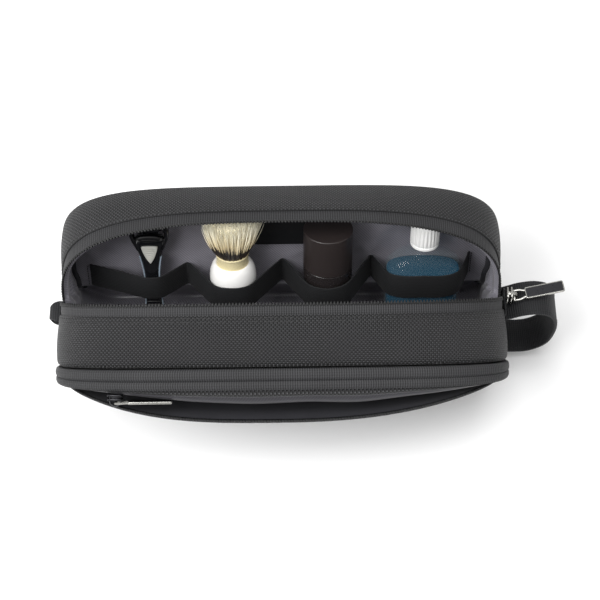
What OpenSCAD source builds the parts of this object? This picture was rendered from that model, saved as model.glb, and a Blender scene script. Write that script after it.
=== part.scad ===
// Soft zip-top shaving kit bag with its four grooming items, standing open on a table.
// Origin at the centre of the underside, +Z up, +X to the side with the carry loop,
// -Y to the side with the outer pocket. Both halves lean back from the main zip.

/* [Bag] */
// Width of the bag across its gussets
bag_w = 274; // [262:1:290]
// Height of the zip ends, where both halves hinge
hinge_h = 70; // [66:1:74]
// Height of the closed arch above the zip ends
arch_h = 60; // [58:1:64]
// Depth of each half, from the main zip to its panel
half_d = 38; // [37:0.5:42]
// Squareness of the arch, 2 is an ellipse
arch_n = 3.5; // [3.2:0.1:4]
// Radius of the bottom corners
corner_r = 28; // [22:1:32]
// Angle that each half leans outward when open
open_deg = 26; // [24:0.5:27]
// Angle of the lower edge of each half below level when closed
fold_deg = 22; // [20:1:23]

/* [Layers] */
// Thickness of the woven outer fabric
fabric_t = 1.5; // [1:0.1:1.8]
// Thickness of the foam padding
foam_t = 2.4; // [2:0.1:2.6]
// Thickness of the lining
lining_t = 0.6; // [0.4:0.1:0.8]
// Thickness of the stiffener board in the bottom
board_t = 1.2; // [0.8:0.1:1.6]
// Width of one row of zip coil
coil_w = 1.85; // [1.6:0.05:2]
// Width of the zip tape from the zip line to the gusset seam
tape_w = 12.2; // [10:0.1:14]

/* [Outer pocket] */
// How far the outer pocket stands off the front panel at its foot
pocket_low = 4; // [3:0.5:5]
// How far it stands off at the top of the arch
pocket_top = 12.5; // [11:0.5:14]
// Height of the pocket foot below the zip ends
pocket_foot = 14; // [13:0.5:15]
// How far the pocket bulges past the gusset
pocket_bulge = 1.8; // [1:0.1:2.4]
// Angle that the pocket front leans out when unzipped
pocket_open_deg = 18; // [12:1:19]
// Squareness of the pocket's arch
pocket_n = 4.6; // [4:0.1:5]
// Sideways place of the pocket slider when unzipped, from the middle
pocket_slider_x = 97; // [90:1:100]

/* [Carry loop] */
// Width of the loop webbing
loop_w = 22; // [18:1:25]
// How far the loop reaches past the side of the bag
loop_reach = 37; // [30:1:42]
// Height of the loop from its lower to its upper run
loop_h = 54; // [50:1:54]
// Thickness of the doubled webbing
loop_t = 2.2; // [1.6:0.1:2.6]

/* [Zip pullers] */
// Length of the main puller from its crossbar to its tip
main_puller_len = 31; // [30:1:38]
// Width of the main puller
main_puller_w = 7.6; // [7:0.2:8]
// Length of the pocket puller
pocket_puller_len = 33; // [28:1:36]
// Width of the pocket puller
pocket_puller_w = 6; // [5.6:0.2:6]
// Diameter of the crossbar that hooks into the slider
crossbar_d = 1.8; // [1.4:0.1:2]

/* [Shaving brush] */
// Sideways place of the brush
brush_x = -30; // [-31:0.5:-29]
// Largest diameter of the brush handle
brush_d = 29.4; // [26:0.2:29.6]
// Height of the handle top above the zip ends
brush_top = 14.3; // [12:0.1:16]

/* [Razor] */
// Sideways place of the razor
razor_x = -81; // [-83:0.5:-79]
// Height of the head pivot above the zip ends
razor_pivot = 37; // [35:0.5:38]
// Width of the cartridge
razor_head_w = 40; // [36:1:42]

/* [Spray can] */
// Sideways place of the can
can_x = 29; // [28:0.5:30]
// Diameter of the can and its cap
can_d = 30.4; // [28:0.2:30.6]
// Height of the cap top above the zip ends
can_top = 40; // [38:0.5:41]
// Height of the cap
can_cap_h = 26; // [24:0.5:28]

/* [Bottle] */
// Sideways place of the bottle
bottle_x = 88.5; // [87:0.5:90]
// Width of the bottle
bottle_w = 47.4; // [44:0.2:48]
// Depth of the bottle from front to back
bottle_deep = 26; // [22:0.5:27]
// Height of the liquid above the zip ends
liquid_top = 8; // [6:0.2:14]
// Diameter of the screw cap
bottle_cap_d = 18; // [17:0.2:20]

/* [Hidden] */

half_w = bag_w / 2;
// slope of the base's shoulders once both halves lean out
tent_deg = open_deg + fold_deg;
// running gap between bodies that fold against each other
gap = 0.4;
// half of the gap between the two rows of the closed main zip
zip_gap = 0.15;
// depths of the layers from the zip plane
fabric_u = half_d - fabric_t;
foam_u = fabric_u - foam_t;
lining_u = foam_u - lining_t;
skin_d = fabric_t + lining_t;
binding_w = 2.6;
binding_t = 2;
reach = 200;

// pocket front plane, measured in a frame at its foot that leans with the pocket
slant_deg = atan((pocket_top - pocket_low) / (arch_h + pocket_foot));
flap_t = 1.6;
flap_lining_t = 0.6;
band_t = 1.3;
lip_d = 5;
pocket_zip_gap = 3.05;
flap_inset = lip_d + 2 * coil_w + pocket_zip_gap;
flap_foot_play = 0.6;
slant_foot = pocket_foot / cos(slant_deg);

puller_t = 1.6;
bridge_t = 1.6;
slider_t = 3.6;
main_slider_size = [11, 9];
pocket_slider_size = [9, 7];
wire_w = 1.3;
bore_play = 0.25;

item_foot = 55;
item_u = 18;
bottle_u = 19.6;
wall_play = 0.3;
// how far the panels tuck down into the tub below their fold, and their play to its sides
tuck_low = 27;
tuck_play = 5.5;

//---------------------------------------------------------------- outlines and frames

// upper half of a superellipse from its right end to its left end
function arch_points(a, h, n = arch_n, steps = 36) =
    [for (i = [0:steps])
        let (q = 180 * i / steps, c = cos(q), s = sin(q))
        [a * sign(c) * pow(abs(c), 2 / n), h * pow(s, 2 / n)]];

// bottom of the bag with round corners, from its left side to its right side
function tub_points(a, low, r, steps = 8) = concat(
    [for (i = [0:steps])
        let (q = 180 + 90 * i / steps) [r - a + r * cos(q), r - low + r * sin(q)]],
    [for (i = [0:steps])
        let (q = 270 + 90 * i / steps) [a - r + r * cos(q), r - low + r * sin(q)]]);

// outline of the whole bag seen from the front, set in by inset
module bag_outline(inset = 0) {
    a = half_w - inset;
    polygon(concat(arch_points(a, arch_h - inset),
                   tub_points(a, hinge_h - inset, corner_r - inset)));
}

// the strip of the outline between two insets
module bag_ring(from, to) {
    difference() {
        bag_outline(from);
        bag_outline(to);
    }
}

// stands a flat drawing up in X and Z, and gives it depth from y0 to y1
module deep(y0, y1) {
    translate([0, y1, 0])
        rotate([90, 0, 0])
            linear_extrude(height = y1 - y0)
                children();
}

// stands a flat drawing up in Y and Z, and gives it width from x0 to x1
module wide(x0, x1) {
    translate([x0, 0, 0])
        rotate([90, 0, 90])
            linear_extrude(height = x1 - x0)
                children();
}

// puts a drawing made about the zip ends at the bag's own height
module at_hinge() {
    translate([0, 0, hinge_h]) children();
}

// the halves are drawn closed, with depth +Y from the zip, and lean out from there
module back_half() {
    at_hinge() rotate([-open_deg, 0, 0]) children();
}

module front_half() {
    at_hinge() rotate([open_deg, 0, 0]) mirror([0, 1, 0]) children();
}

// everything above the lower edge of a half
module above_fold() {
    intersection() {
        children();
        wide(-reach, reach)
            polygon([[0, 0], [reach, -reach * tan(fold_deg)], [reach, reach], [0, reach]]);
    }
}

// everything below the base's shoulders
module below_tent() {
    drop = gap / cos(tent_deg);
    run = half_d + 10;
    low = -drop - run * tan(tent_deg);
    intersection() {
        children();
        wide(-reach, reach)
            polygon([[0, -drop], [-run, low], [-run, -reach], [run, -reach], [run, low]]);
    }
}

// the frame of the pocket front: its foot at the origin, +Z along the leaning front
module pocket_plane(lean = 0) {
    front_half()
        translate([0, half_d + pocket_low, -pocket_foot])
            rotate([-slant_deg - lean, 0, 0])
                children();
}

// outline of the pocket in its own leaning plane, set in by inset
module pocket_outline(inset = 0) {
    a = half_w + pocket_bulge - inset;
    h = (arch_h + pocket_bulge - inset) / cos(slant_deg);
    arch = [for (p = arch_points(a, h, pocket_n)) [p[0], p[1] + slant_foot]];
    polygon(concat(arch, [[-a, 0], [a, 0]]));
}

// outline of the pocket band, which runs square out from the front panel
module band_outline(inset = 0) {
    a = half_w + pocket_bulge - inset;
    polygon(concat(arch_points(a, arch_h + pocket_bulge - inset, pocket_n),
                   [[-a, -pocket_foot], [a, -pocket_foot]]));
}

//---------------------------------------------------------------- base tub

// bottom and both ends in one strip of woven fabric
module base_gusset() {
    color("#3a3b3d")
        at_hinge() below_tent() deep(-fabric_u, fabric_u) bag_ring(0, fabric_t);
}

module base_front_wall() {
    color("#3c3d3f")
        at_hinge() below_tent() deep(-half_d, -fabric_u) bag_outline();
}

module base_back_wall() {
    color("#3c3d3f")
        at_hinge() below_tent() deep(fabric_u, half_d) bag_outline();
}

// foam behind the strip, cut away where the stiffener board lies
module base_foam() {
    color("#6b6b6b")
        difference() {
            at_hinge() below_tent()
                deep(-foam_u, foam_u) bag_ring(fabric_t, fabric_t + foam_t);
            board_space();
        }
}

module board_space() {
    translate([corner_r - half_w, -foam_u, fabric_t - 1])
        cube([bag_w - 2 * corner_r, 2 * foam_u, board_t + 1]);
}

module base_board() {
    color("#222222")
        translate([corner_r - half_w, -foam_u, fabric_t])
            cube([bag_w - 2 * corner_r, 2 * foam_u, board_t]);
}

// foam in the low front and back walls
module base_wall_foam() {
    color("#6b6b6b")
        at_hinge() below_tent() {
            deep(-fabric_u, -foam_u) bag_outline(fabric_t);
            deep(foam_u, fabric_u) bag_outline(fabric_t);
        }
}

module base_lining() {
    inner = fabric_t + foam_t;
    color("#4a484e")
        at_hinge() below_tent() {
            deep(-foam_u, foam_u) bag_ring(inner, inner + lining_t);
            deep(-foam_u, -lining_u) bag_outline(inner + lining_t);
            deep(lining_u, foam_u) bag_outline(inner + lining_t);
        }
}

//---------------------------------------------------------------- carry loop and zip ends

loop_y = -2;
loop_mid = 36;
loop_root = half_w - 6;
loop_n = 2.6;
patch_t = 1.2;
patch_w = 18;
patch_h = 24;
side_play = 0.4;

// half superellipse, standing on end so that it opens toward the bag
function loop_points(a, h) = [for (p = arch_points(h, a, loop_n)) [p[1], -p[0]]];

// webbing folded into a D and sewn to the end of the bag
module carry_loop() {
    a = half_w + loop_reach - loop_root;
    color("#202224")
        difference() {
            translate([loop_root, loop_y, loop_mid])
                deep(-loop_w / 2, loop_w / 2)
                    difference() {
                        polygon(loop_points(a, loop_h / 2));
                        polygon(loop_points(a - loop_t, loop_h / 2 - loop_t));
                    }
            at_hinge() deep(-half_d, half_d) bag_outline();
            loop_clearance();
        }
}

// keeps the loop off the sides of the two halves
module loop_clearance() {
    translate([half_w - 10, -half_d, loop_mid])
        cube([10 + side_play + patch_t, bag_w, hinge_h]);
}

// reinforcing patch over the zip end, which carries the loop's upper run
module loop_patch() {
    color("#1d1e20")
        translate([0, loop_y, hinge_h - patch_h - 1]) {
            translate([half_w + side_play, -patch_w / 2, 0])
                cube([patch_t, patch_w, patch_h]);
            translate([half_w, -2 - loop_y, 0])
                cube([side_play, 4, patch_h - 6]);
        }
}

tab_run = 2.6;
tab_h = 7;

// folded grab tab at the other zip end
module zip_end_tab() {
    color("#1d1e20")
        translate([-half_w, -6, hinge_h - 8])
            mirror([1, 0, 0]) {
                translate([side_play, -7, 0])
                    deep(0, 14)
                        union() {
                            square([tab_run, tab_h]);
                            translate([tab_run, tab_h / 2])
                                intersection() {
                                    circle(d = tab_h, $fn = 48);
                                    translate([0, -tab_h / 2]) square(tab_h);
                                }
                        }
                translate([0, 4, 0]) cube([side_play, 4, 3]);
            }
}

bar_z = slider_t + 1.6;

// slider body and bridge, drawn with its back on z = 0, travel along X, crossbar along Y
module slider(size) {
    difference() {
        union() {
            translate([-size[0] / 2, -size[1] / 2, 0])
                cube([size[0], size[1], slider_t]);
            bridge();
        }
        translate([0, 0, bar_z])
            rotate([90, 0, 0])
                cylinder(d = crossbar_d + 2 * bore_play, h = size[1], center = true, $fn = 48);
    }
}

// upright eye that the crossbar turns in
module bridge() {
    eye_r = crossbar_d + 0.6;
    translate([0, bridge_t / 2, 0])
        rotate([90, 0, 0])
            linear_extrude(height = bridge_t)
                union() {
                    translate([-eye_r, slider_t - 0.5])
                        square([2 * eye_r, bar_z - slider_t + 0.5]);
                    translate([0, bar_z]) circle(r = eye_r, $fn = 48);
                }
}

// crossbar, two wires and a plate, lying along +X from the crossbar
module puller(len, w, skew = 0) {
    eye = len / 4;
    rotate([90, 0, 0])
        cylinder(d = crossbar_d, h = w, center = true, $fn = 48);
    rotate([0, 0, skew])
        translate([0, 0, -puller_t / 2])
            linear_extrude(height = puller_t)
                difference() {
                    union() {
                        translate([0, -w / 2]) square([len - w / 2, w]);
                        translate([len - w / 2, 0]) circle(d = w, $fn = 48);
                    }
                    translate([-w, wire_w - w / 2])
                        square([eye + w, w - 2 * wire_w]);
                }
}

main_slider_z = hinge_h - 0.4;
main_bar_x = half_w + side_play + patch_t + bar_z;
main_tilt = -8;
main_skew = 8;

// slider of the main zip, parked at the end by the carry loop
module main_slider() {
    color("#b9b9b6")
        translate([main_bar_x - bar_z, 0, main_slider_z])
            rotate([0, 90, 0])
                slider(main_slider_size);
}

module main_puller() {
    color("#a8a8a4")
        translate([main_bar_x, 0, main_slider_z])
            rotate([0, main_tilt, 0])
                puller(main_puller_len, main_puller_w, main_skew);
}

//---------------------------------------------------------------- shared layers of a half

module half_gusset() {
    above_fold() deep(tape_w, fabric_u) bag_ring(0, fabric_t);
}

module half_gusset_lining() {
    above_fold() deep(coil_w + 1, lining_u) bag_ring(fabric_t, skin_d);
}

module half_zip_tape() {
    above_fold() deep(coil_w + zip_gap, tape_w) bag_ring(0.3, fabric_t);
}

module half_zip_coil() {
    above_fold() deep(zip_gap, coil_w + zip_gap) bag_ring(0, fabric_t + 0.3);
}

module half_panel() {
    above_fold() deep(fabric_u, half_d) bag_outline();
    panel_tuck(fabric_u, half_d);
}

module half_foam() {
    above_fold() deep(foam_u, fabric_u) bag_outline(fabric_t);
}

module half_lining() {
    above_fold() deep(lining_u, foam_u) bag_outline(fabric_t);
    panel_tuck(lining_u, foam_u);
}

// the stretch of a panel that reaches down into the tub, clear of the tub's ends
module panel_tuck(u0, u1) {
    top = -tan(fold_deg) * u1;
    translate([tuck_play - half_w, u0, -tuck_low])
        cube([bag_w - 2 * tuck_play, u1 - u0, tuck_low + top + 0.01]);
}

module half_binding() {
    above_fold() deep(lining_u - binding_w, lining_u) bag_ring(skin_d, skin_d + binding_t);
}

module front_gusset() { color("#3d3e40") front_half() half_gusset(); }
module front_gusset_lining() { color("#4a484e") front_half() half_gusset_lining(); }
module front_zip_tape() { color("#555557") front_half() half_zip_tape(); }
module front_zip_coil() { color("#2b2c2e") front_half() half_zip_coil(); }
module front_panel() { color("#3a3b3d") front_half() half_panel(); }
module front_foam() { color("#6b6b6b") front_half() half_foam(); }
module front_lining() { color("#4a484e") front_half() half_lining(); }
module front_seam_binding() { color("#2a2a2e") front_half() half_binding(); }

module back_gusset() { color("#3d3e40") back_half() half_gusset(); }
module back_gusset_lining() { color("#4a484e") back_half() half_gusset_lining(); }
module back_zip_tape() { color("#555557") back_half() half_zip_tape(); }
module back_zip_coil() { color("#2b2c2e") back_half() half_zip_coil(); }
module back_panel() { color("#3a3b3d") back_half() half_panel(); }
module back_foam() { color("#6b6b6b") back_half() half_foam(); }
module back_lining() { color("#4a484e") back_half() half_lining(); }
module back_seam_binding() { color("#2a2a2e") back_half() half_binding(); }

//---------------------------------------------------------------- outer pocket

// band that carries the upper zip tape, cut off along the leaning pocket front
module pocket_band() {
    color("#555557") {
        intersection() {
            front_half()
                union() {
                    deep(half_d, half_d + pocket_top + 3) band_ring(band_t);
                    deep(half_d, half_d + band_t) band_ring(8);
                }
            pocket_plane()
                translate([-reach, -reach, 0])
                    cube([2 * reach, reach - band_t, reach]);
        }
        pocket_plane()
            deep(-band_t, 0)
                difference() {
                    pocket_outline();
                    pocket_outline(lip_d);
                }
    }
}

// the strip of the band's outline down to an inset
module band_ring(inset) {
    difference() {
        band_outline();
        band_outline(inset);
    }
}

// strip along the foot that the pocket front is sewn to
module pocket_foot_strip() {
    color("#2f3032")
        front_half()
            translate([flap_inset - half_w, half_d, -pocket_foot - 1])
                cube([bag_w - 2 * flap_inset, pocket_low - 0.5, 1.2]);
}

module pocket_band_coil() {
    color("#2b2c2e")
        pocket_plane()
            deep(-band_t, 0.5)
                difference() {
                    pocket_outline(lip_d);
                    pocket_outline(lip_d + coil_w);
                }
}

// pocket front, hinged at its foot
module pocket_flap() {
    color("#38393b")
        pocket_plane(pocket_open_deg)
            deep(-0.4, flap_t - 0.4) flap_outline(flap_inset);
}

module pocket_flap_lining() {
    color("#333338")
        pocket_plane(pocket_open_deg)
            deep(-0.4 - flap_lining_t, -0.4) flap_outline(flap_inset + 1);
}

module pocket_flap_coil() {
    color("#2b2c2e")
        pocket_plane(pocket_open_deg)
            deep(-0.4, flap_t - 0.4)
                difference() {
                    flap_outline(flap_inset - coil_w);
                    flap_outline(flap_inset);
                }
}

// the pocket outline above the hinge line of its foot
module flap_outline(inset) {
    intersection() {
        pocket_outline(inset);
        translate([-reach, flap_foot_play]) square([2 * reach, reach]);
    }
}

// place of the pocket slider up the leaning front, on the band's coil
pocket_zip_z = (arch_h + pocket_bulge - lip_d - coil_w / 2) / cos(slant_deg) + slant_foot;
pocket_slider_u = flap_t + 0.4;

module pocket_slider() {
    color("#8f8f8c")
        pocket_slider_place() slider(pocket_slider_size);
}

module pocket_puller() {
    color("#b9b9b6")
        pocket_slider_place()
            translate([0, 0, bar_z])
                puller(pocket_puller_len, pocket_puller_w);
}

// frame of the pocket slider: z out of the pocket front, x along the zip
module pocket_slider_place() {
    pocket_plane()
        translate([-pocket_slider_x, pocket_slider_u, pocket_zip_z])
            rotate([90, 0, 0])
                mirror([0, 0, 1])
                    children();
}

//---------------------------------------------------------------- inside of the back half

strap_low = -13.5;
strap_high = 3.5;
strap_t = 1.2;
strap_u = lining_u;
strap_left = -115;
strap_right = 118;
stitch_w = 4;
// stitch lines, with each loop held between two of them
stitches = [strap_left, -59, 1, 57, strap_right];
// what each loop wraps: place, half width, half depth, depth of its middle
strap_items = [
    [razor_x, 8, 5.6, 24],
    [brush_x, brush_d / 2, brush_d / 2, item_u],
    [can_x, can_d / 2, can_d / 2, item_u],
    [bottle_x, bottle_w / 2, bottle_deep / 2, bottle_u]
];

function oval_points(a, b, n = 2, steps = 48) =
    [for (i = [0:steps - 1])
        let (q = 360 * i / steps, c = cos(q), s = sin(q))
        [a * sign(c) * pow(abs(c), 2 / n), b * sign(s) * pow(abs(s), 2 / n)]];

// area between the wall and the outside of one loop, set in by inset
module strap_loop(i, inset) {
    item = strap_items[i];
    play = wall_play + strap_t - inset;
    hull() {
        translate([item[0], item[3]])
            polygon(oval_points(item[1] + play, item[2] + play, 2.4));
        translate([stitches[i] + inset * 1.6, strap_u])
            square([stitches[i + 1] - stitches[i] - inset * 3.2, 20]);
    }
}

module elastic_strap() {
    color("#16181c")
        back_half()
            translate([0, 0, strap_low])
                linear_extrude(height = strap_high - strap_low) {
                    intersection() {
                        difference() {
                            for (i = [0:3]) strap_loop(i, 0);
                            for (i = [0:3]) strap_loop(i, strap_t);
                        }
                        translate([-reach, -reach]) square([2 * reach, reach + strap_u]);
                    }
                    for (x = stitches)
                        translate([x - stitch_w / 2, strap_u - strap_t])
                            square([stitch_w, strap_t]);
                }
}

module label_patch() {
    color("#111214")
        back_half()
            translate([-16.5, lining_u - 0.6, 17.5])
                cube([33, 0.6, 20]);
}

//---------------------------------------------------------------- razor

razor_u = 24;
razor_t = 9;
razor_pin_d = 2.6;
fork_in = 8.5;
fork_out = 11.5;

// handle outline: grip, neck and the two fork arms
module razor_outline() {
    polygon([
        [-6, -item_foot + 6], [-4.5, -item_foot + 2], [0, -item_foot], [4.5, -item_foot + 2],
        [6, -item_foot + 6], [6.4, -30], [5.4, -14], [4.8, 2], [5.4, 10], [7, 17],
        [fork_out - 1.5, 26], [fork_out, 32], [fork_out, razor_pivot],
        [fork_in, razor_pivot], [fork_in, 34], [6, 32.6], [0, 32],
        [-6, 32.6], [-fork_in, 34], [-fork_in, razor_pivot],
        [-fork_out, razor_pivot], [-fork_out, 32], [1.5 - fork_out, 26], [-7, 17],
        [-5.4, 10], [-4.8, 2], [-5.4, -14], [-6.4, -30]
    ]);
}

module razor_handle() {
    color("#17181a")
        back_half()
            translate([razor_x, razor_u, 0]) {
                difference() {
                    deep(-razor_t / 2, razor_t / 2) razor_outline();
                    deep(-razor_t, -1) fork_slot();
                    deep(3, razor_t) fork_slot();
                    deep(-razor_t / 2 - 1, 1.6 - razor_t / 2)
                        button_outline(0.35, button_travel);
                }
                translate([0, 0, razor_pivot])
                    rotate([0, 90, 0])
                        cylinder(d = razor_pin_d, h = 2 * fork_out, center = true, $fn = 48);
                for (x = [-fork_out, fork_in])
                    translate([x, 0, razor_pivot])
                        rotate([0, 90, 0])
                            cylinder(d = 4.4, h = fork_out - fork_in, $fn = 48);
            }
}

// thins the fork so that the head can pivot
module fork_slot() {
    translate([-15, 32.5]) square([30, 20]);
}

button_travel = 2.5;
button_low = 14;
button_high = 28;

// ribbed push button of the head release, wide at the top
module button_outline(play = 0, travel = 0) {
    polygon([
        [-0.6 - play, button_low - play], [0.6 + play, button_low - play],
        [5.2 + play, button_high + play], [5.2 + play, button_high + travel + play],
        [-5.2 - play, button_high + travel + play], [-5.2 - play, button_high + play]
    ]);
}

module razor_button() {
    color("#a9a9a2")
        back_half()
            translate([razor_x, razor_u, 0])
                difference() {
                    deep(-razor_t / 2 - 0.6, 1.3 - razor_t / 2) button_outline();
                    for (z = [button_low + 5:2.4:button_high - 2])
                        translate([-3.4, -razor_t / 2 - 1, z])
                            cube([6.8, 0.8, 0.9]);
                }
}

// cartridge with its lug on the pivot pin
module razor_head() {
    color("#1d1e20")
        back_half()
            translate([razor_x, razor_u, razor_pivot])
                difference() {
                    union() {
                        translate([-razor_head_w / 2, -4.5, 5])
                            cube([razor_head_w, 9, 4.6]);
                        deep(-2.9, 2.9) translate([-6, 0]) square([12, 5.2]);
                        rotate([0, 90, 0]) cylinder(d = 5.8, h = 12, center = true, $fn = 48);
                    }
                    rotate([0, 90, 0])
                        cylinder(d = razor_pin_d + 2 * bore_play, h = 14, center = true, $fn = 48);
                    blade_slots();
                }
}

module blade_slots() {
    for (y = [-3, -1, 1])
        translate([1.5 - razor_head_w / 2, y, 8.2])
            cube([razor_head_w - 3, 1.2, 3]);
}

module razor_blades() {
    color("#d5d7d8")
        back_half()
            translate([razor_x, razor_u, razor_pivot])
                for (y = [-3, -1, 1])
                    translate([1.7 - razor_head_w / 2, y + 0.3, 8.2])
                        cube([razor_head_w - 3.4, 0.4, 1.5]);
}

//---------------------------------------------------------------- shaving brush

module brush_place() {
    back_half() translate([brush_x, item_u, 0]) children();
}

ferrule_h = 8.7;
ferrule_r = 10.1;

// turned handle: foot, waist, bulb and shoulder
module brush_handle() {
    r = brush_d / 2;
    color("#f4f4f2")
        brush_place()
            rotate_extrude($fn = 64)
                polygon(concat(
                    [[0, -48], [12.4, -48], [13.4, -46.5], [13.2, -43], [11.4, -38], [11.2, -33],
                     [12.8, -25], [r - 0.3, -17]],
                    [for (q = [0:15:90])
                        [r - 4 + 4 * cos(q), brush_top - 10 + 10 * sin(q)]],
                    [[0, brush_top]]));
}

module brush_ferrule() {
    color("#d9cfa6")
        brush_place()
            translate([0, 0, brush_top])
                cylinder(r1 = ferrule_r - 0.3, r2 = ferrule_r, h = ferrule_h, $fn = 64);
}

// knot of bristle, fanned out sideways and pressed flat by the walls
module brush_bristles() {
    foot = brush_top + ferrule_h;
    color("#f0e1b4")
        brush_place()
            hull() {
                translate([0, 0, foot])
                    cylinder(r = ferrule_r - 0.4, h = 1, $fn = 32);
                translate([0, 0, arch_h - 12])
                    linear_extrude(height = 1) polygon(oval_points(18.5, 14.6, 2, 32));
                translate([0, 0, arch_h - 5])
                    linear_extrude(height = 1) polygon(oval_points(15, 11, 2, 32));
            }
}

//---------------------------------------------------------------- spray can

module can_place() {
    back_half() translate([can_x, item_u, 0]) children();
}

can_shoulder = can_top - can_cap_h;
cap_wall = 1;
button_d = 13;
stem_d = 3.4;

module can_body() {
    r = can_d / 2;
    color("#2d2626")
        can_place()
            difference() {
                rotate_extrude($fn = 64)
                    polygon([
                        [0, -item_foot + 3], [r - 3, -item_foot], [r - 1, -item_foot],
                        [r, -item_foot + 1.5], [r, can_shoulder - 0.5],
                        [r - 2, can_shoulder - 0.5], [r - 2, can_shoulder + 1.5],
                        [4.5, can_shoulder + 3.5], [0, can_shoulder + 3.5]
                    ]);
                translate([0, 0, can_shoulder - 5])
                    cylinder(d = stem_d + 0.6, h = 20, $fn = 48);
            }
}

// spray button on its valve stem
module can_button() {
    color("#e4e4e2")
        can_place()
            translate([0, 0, can_shoulder]) {
                translate([0, 0, 6.6]) cylinder(d = button_d, h = 8, $fn = 48);
                translate([0, 0, -1.6]) cylinder(d = stem_d, h = 8.4, $fn = 48);
            }
}

module can_cap() {
    color("#332b29")
        can_place()
            difference() {
                translate([0, 0, can_shoulder]) cylinder(d = can_d, h = can_cap_h, $fn = 64);
                translate([0, 0, can_shoulder - 1])
                    cylinder(d = can_d - 2 * cap_wall, h = can_cap_h, $fn = 64);
            }
}

//---------------------------------------------------------------- bottle

bottle_foot = -50;
bottle_shoulder = 15;
neck_low = 23;
neck_high = 40;
neck_d = 13.6;
bottle_wall = 1.2;
bottle_cap_low = 26.5;
bottle_cap_h = 17.5;

module bottle_place() {
    back_half() translate([bottle_x, bottle_u, 0]) children();
}

module bottle_section(low, high, inset) {
    translate([0, 0, low])
        linear_extrude(height = high - low)
            polygon(oval_points(bottle_w / 2 - inset, bottle_deep / 2 - inset, 2.5));
}

// outer form of the bottle below its neck, or its inside
module bottle_form(inset) {
    hull() {
        bottle_section(bottle_foot + inset, bottle_foot + inset + 1, inset + 2);
        bottle_section(bottle_foot + 4, bottle_shoulder - 1, inset);
        bottle_section(bottle_shoulder + 1, bottle_shoulder + 5 - inset, inset + 2.5);
        translate([0, 0, neck_low - 1]) cylinder(d = neck_d + 1 - 2 * inset, h = 1, $fn = 32);
    }
}

module bottle_body() {
    color("#9fb6bd")
        bottle_place()
            difference() {
                union() {
                    bottle_form(0);
                    translate([0, 0, neck_low - 2])
                        cylinder(d = neck_d, h = neck_high - neck_low + 2, $fn = 48);
                }
                bottle_form(bottle_wall);
                translate([0, 0, neck_low - 4])
                    cylinder(d = neck_d - 2 * bottle_wall, h = 40, $fn = 48);
            }
}

module bottle_liquid() {
    color("#004b69")
        bottle_place()
            intersection() {
                bottle_form(bottle_wall + 0.1);
                translate([-50, -50, bottle_foot]) cube([100, 100, liquid_top - bottle_foot]);
            }
}

// ribbed screw cap
module bottle_cap() {
    color("#f2f2f0")
        bottle_place()
            translate([0, 0, bottle_cap_low])
                difference() {
                    union() {
                        cylinder(d = bottle_cap_d - 0.8, h = bottle_cap_h, $fn = 64);
                        for (q = [0:15:345])
                            rotate([0, 0, q])
                                translate([bottle_cap_d / 2 - 0.9, -0.6, 1])
                                    cube([0.9, 1.2, bottle_cap_h - 2.5]);
                    }
                    translate([0, 0, -1])
                        cylinder(d = neck_d + 0.6, h = bottle_cap_h - 1, $fn = 64);
                }
}

base_gusset();
base_front_wall();
base_back_wall();
base_foam();
base_wall_foam();
base_board();
base_lining();
carry_loop();
loop_patch();
zip_end_tab();
main_slider();
front_gusset();
front_gusset_lining();
front_zip_tape();
front_zip_coil();
front_panel();
front_foam();
front_lining();
front_seam_binding();
pocket_band();
pocket_band_coil();
pocket_foot_strip();
back_gusset();
back_gusset_lining();
back_zip_tape();
back_zip_coil();
back_panel();
back_foam();
back_lining();
back_seam_binding();
elastic_strap();
label_patch();
pocket_flap();
pocket_flap_lining();
pocket_flap_coil();
pocket_slider();
pocket_puller();
main_puller();
razor_handle();
razor_button();
razor_head();
razor_blades();
brush_handle();
brush_ferrule();
brush_bristles();
can_body();
can_button();
can_cap();
bottle_body();
bottle_liquid();
bottle_cap();
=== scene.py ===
"""Soft zip-top shaving kit bag, standing open with its four grooming items.

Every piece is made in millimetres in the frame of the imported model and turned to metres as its
mesh is made. Both halves are drawn closed, with depth u out from the main zip and height t
above the zip ends, and lean out to their place at rest.
"""

import logging
import math
from dataclasses import dataclass
from enum import Enum

import bmesh
import bpy
import numpy as np
from bpy.types import Material, Node, NodeSocket, NodeTree, Object
from mathutils import Matrix, Vector, noise


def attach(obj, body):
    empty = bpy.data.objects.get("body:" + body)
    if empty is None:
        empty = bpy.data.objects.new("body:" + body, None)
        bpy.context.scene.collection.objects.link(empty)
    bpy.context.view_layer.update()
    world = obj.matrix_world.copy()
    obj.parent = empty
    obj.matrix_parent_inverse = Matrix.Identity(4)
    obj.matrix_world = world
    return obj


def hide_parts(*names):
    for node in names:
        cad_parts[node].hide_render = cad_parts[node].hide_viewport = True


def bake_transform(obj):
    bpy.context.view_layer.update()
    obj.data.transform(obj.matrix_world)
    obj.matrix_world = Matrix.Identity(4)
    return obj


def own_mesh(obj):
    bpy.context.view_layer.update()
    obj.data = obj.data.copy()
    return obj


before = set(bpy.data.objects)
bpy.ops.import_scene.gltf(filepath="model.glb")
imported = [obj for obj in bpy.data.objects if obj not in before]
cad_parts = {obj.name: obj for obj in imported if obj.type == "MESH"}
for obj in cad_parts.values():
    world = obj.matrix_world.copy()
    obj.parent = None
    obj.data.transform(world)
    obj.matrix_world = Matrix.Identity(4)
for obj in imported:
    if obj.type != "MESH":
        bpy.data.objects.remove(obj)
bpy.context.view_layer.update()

log = logging.getLogger("kit_bag")
MM = 0.001
Array = np.ndarray


# ---- materials


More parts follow.
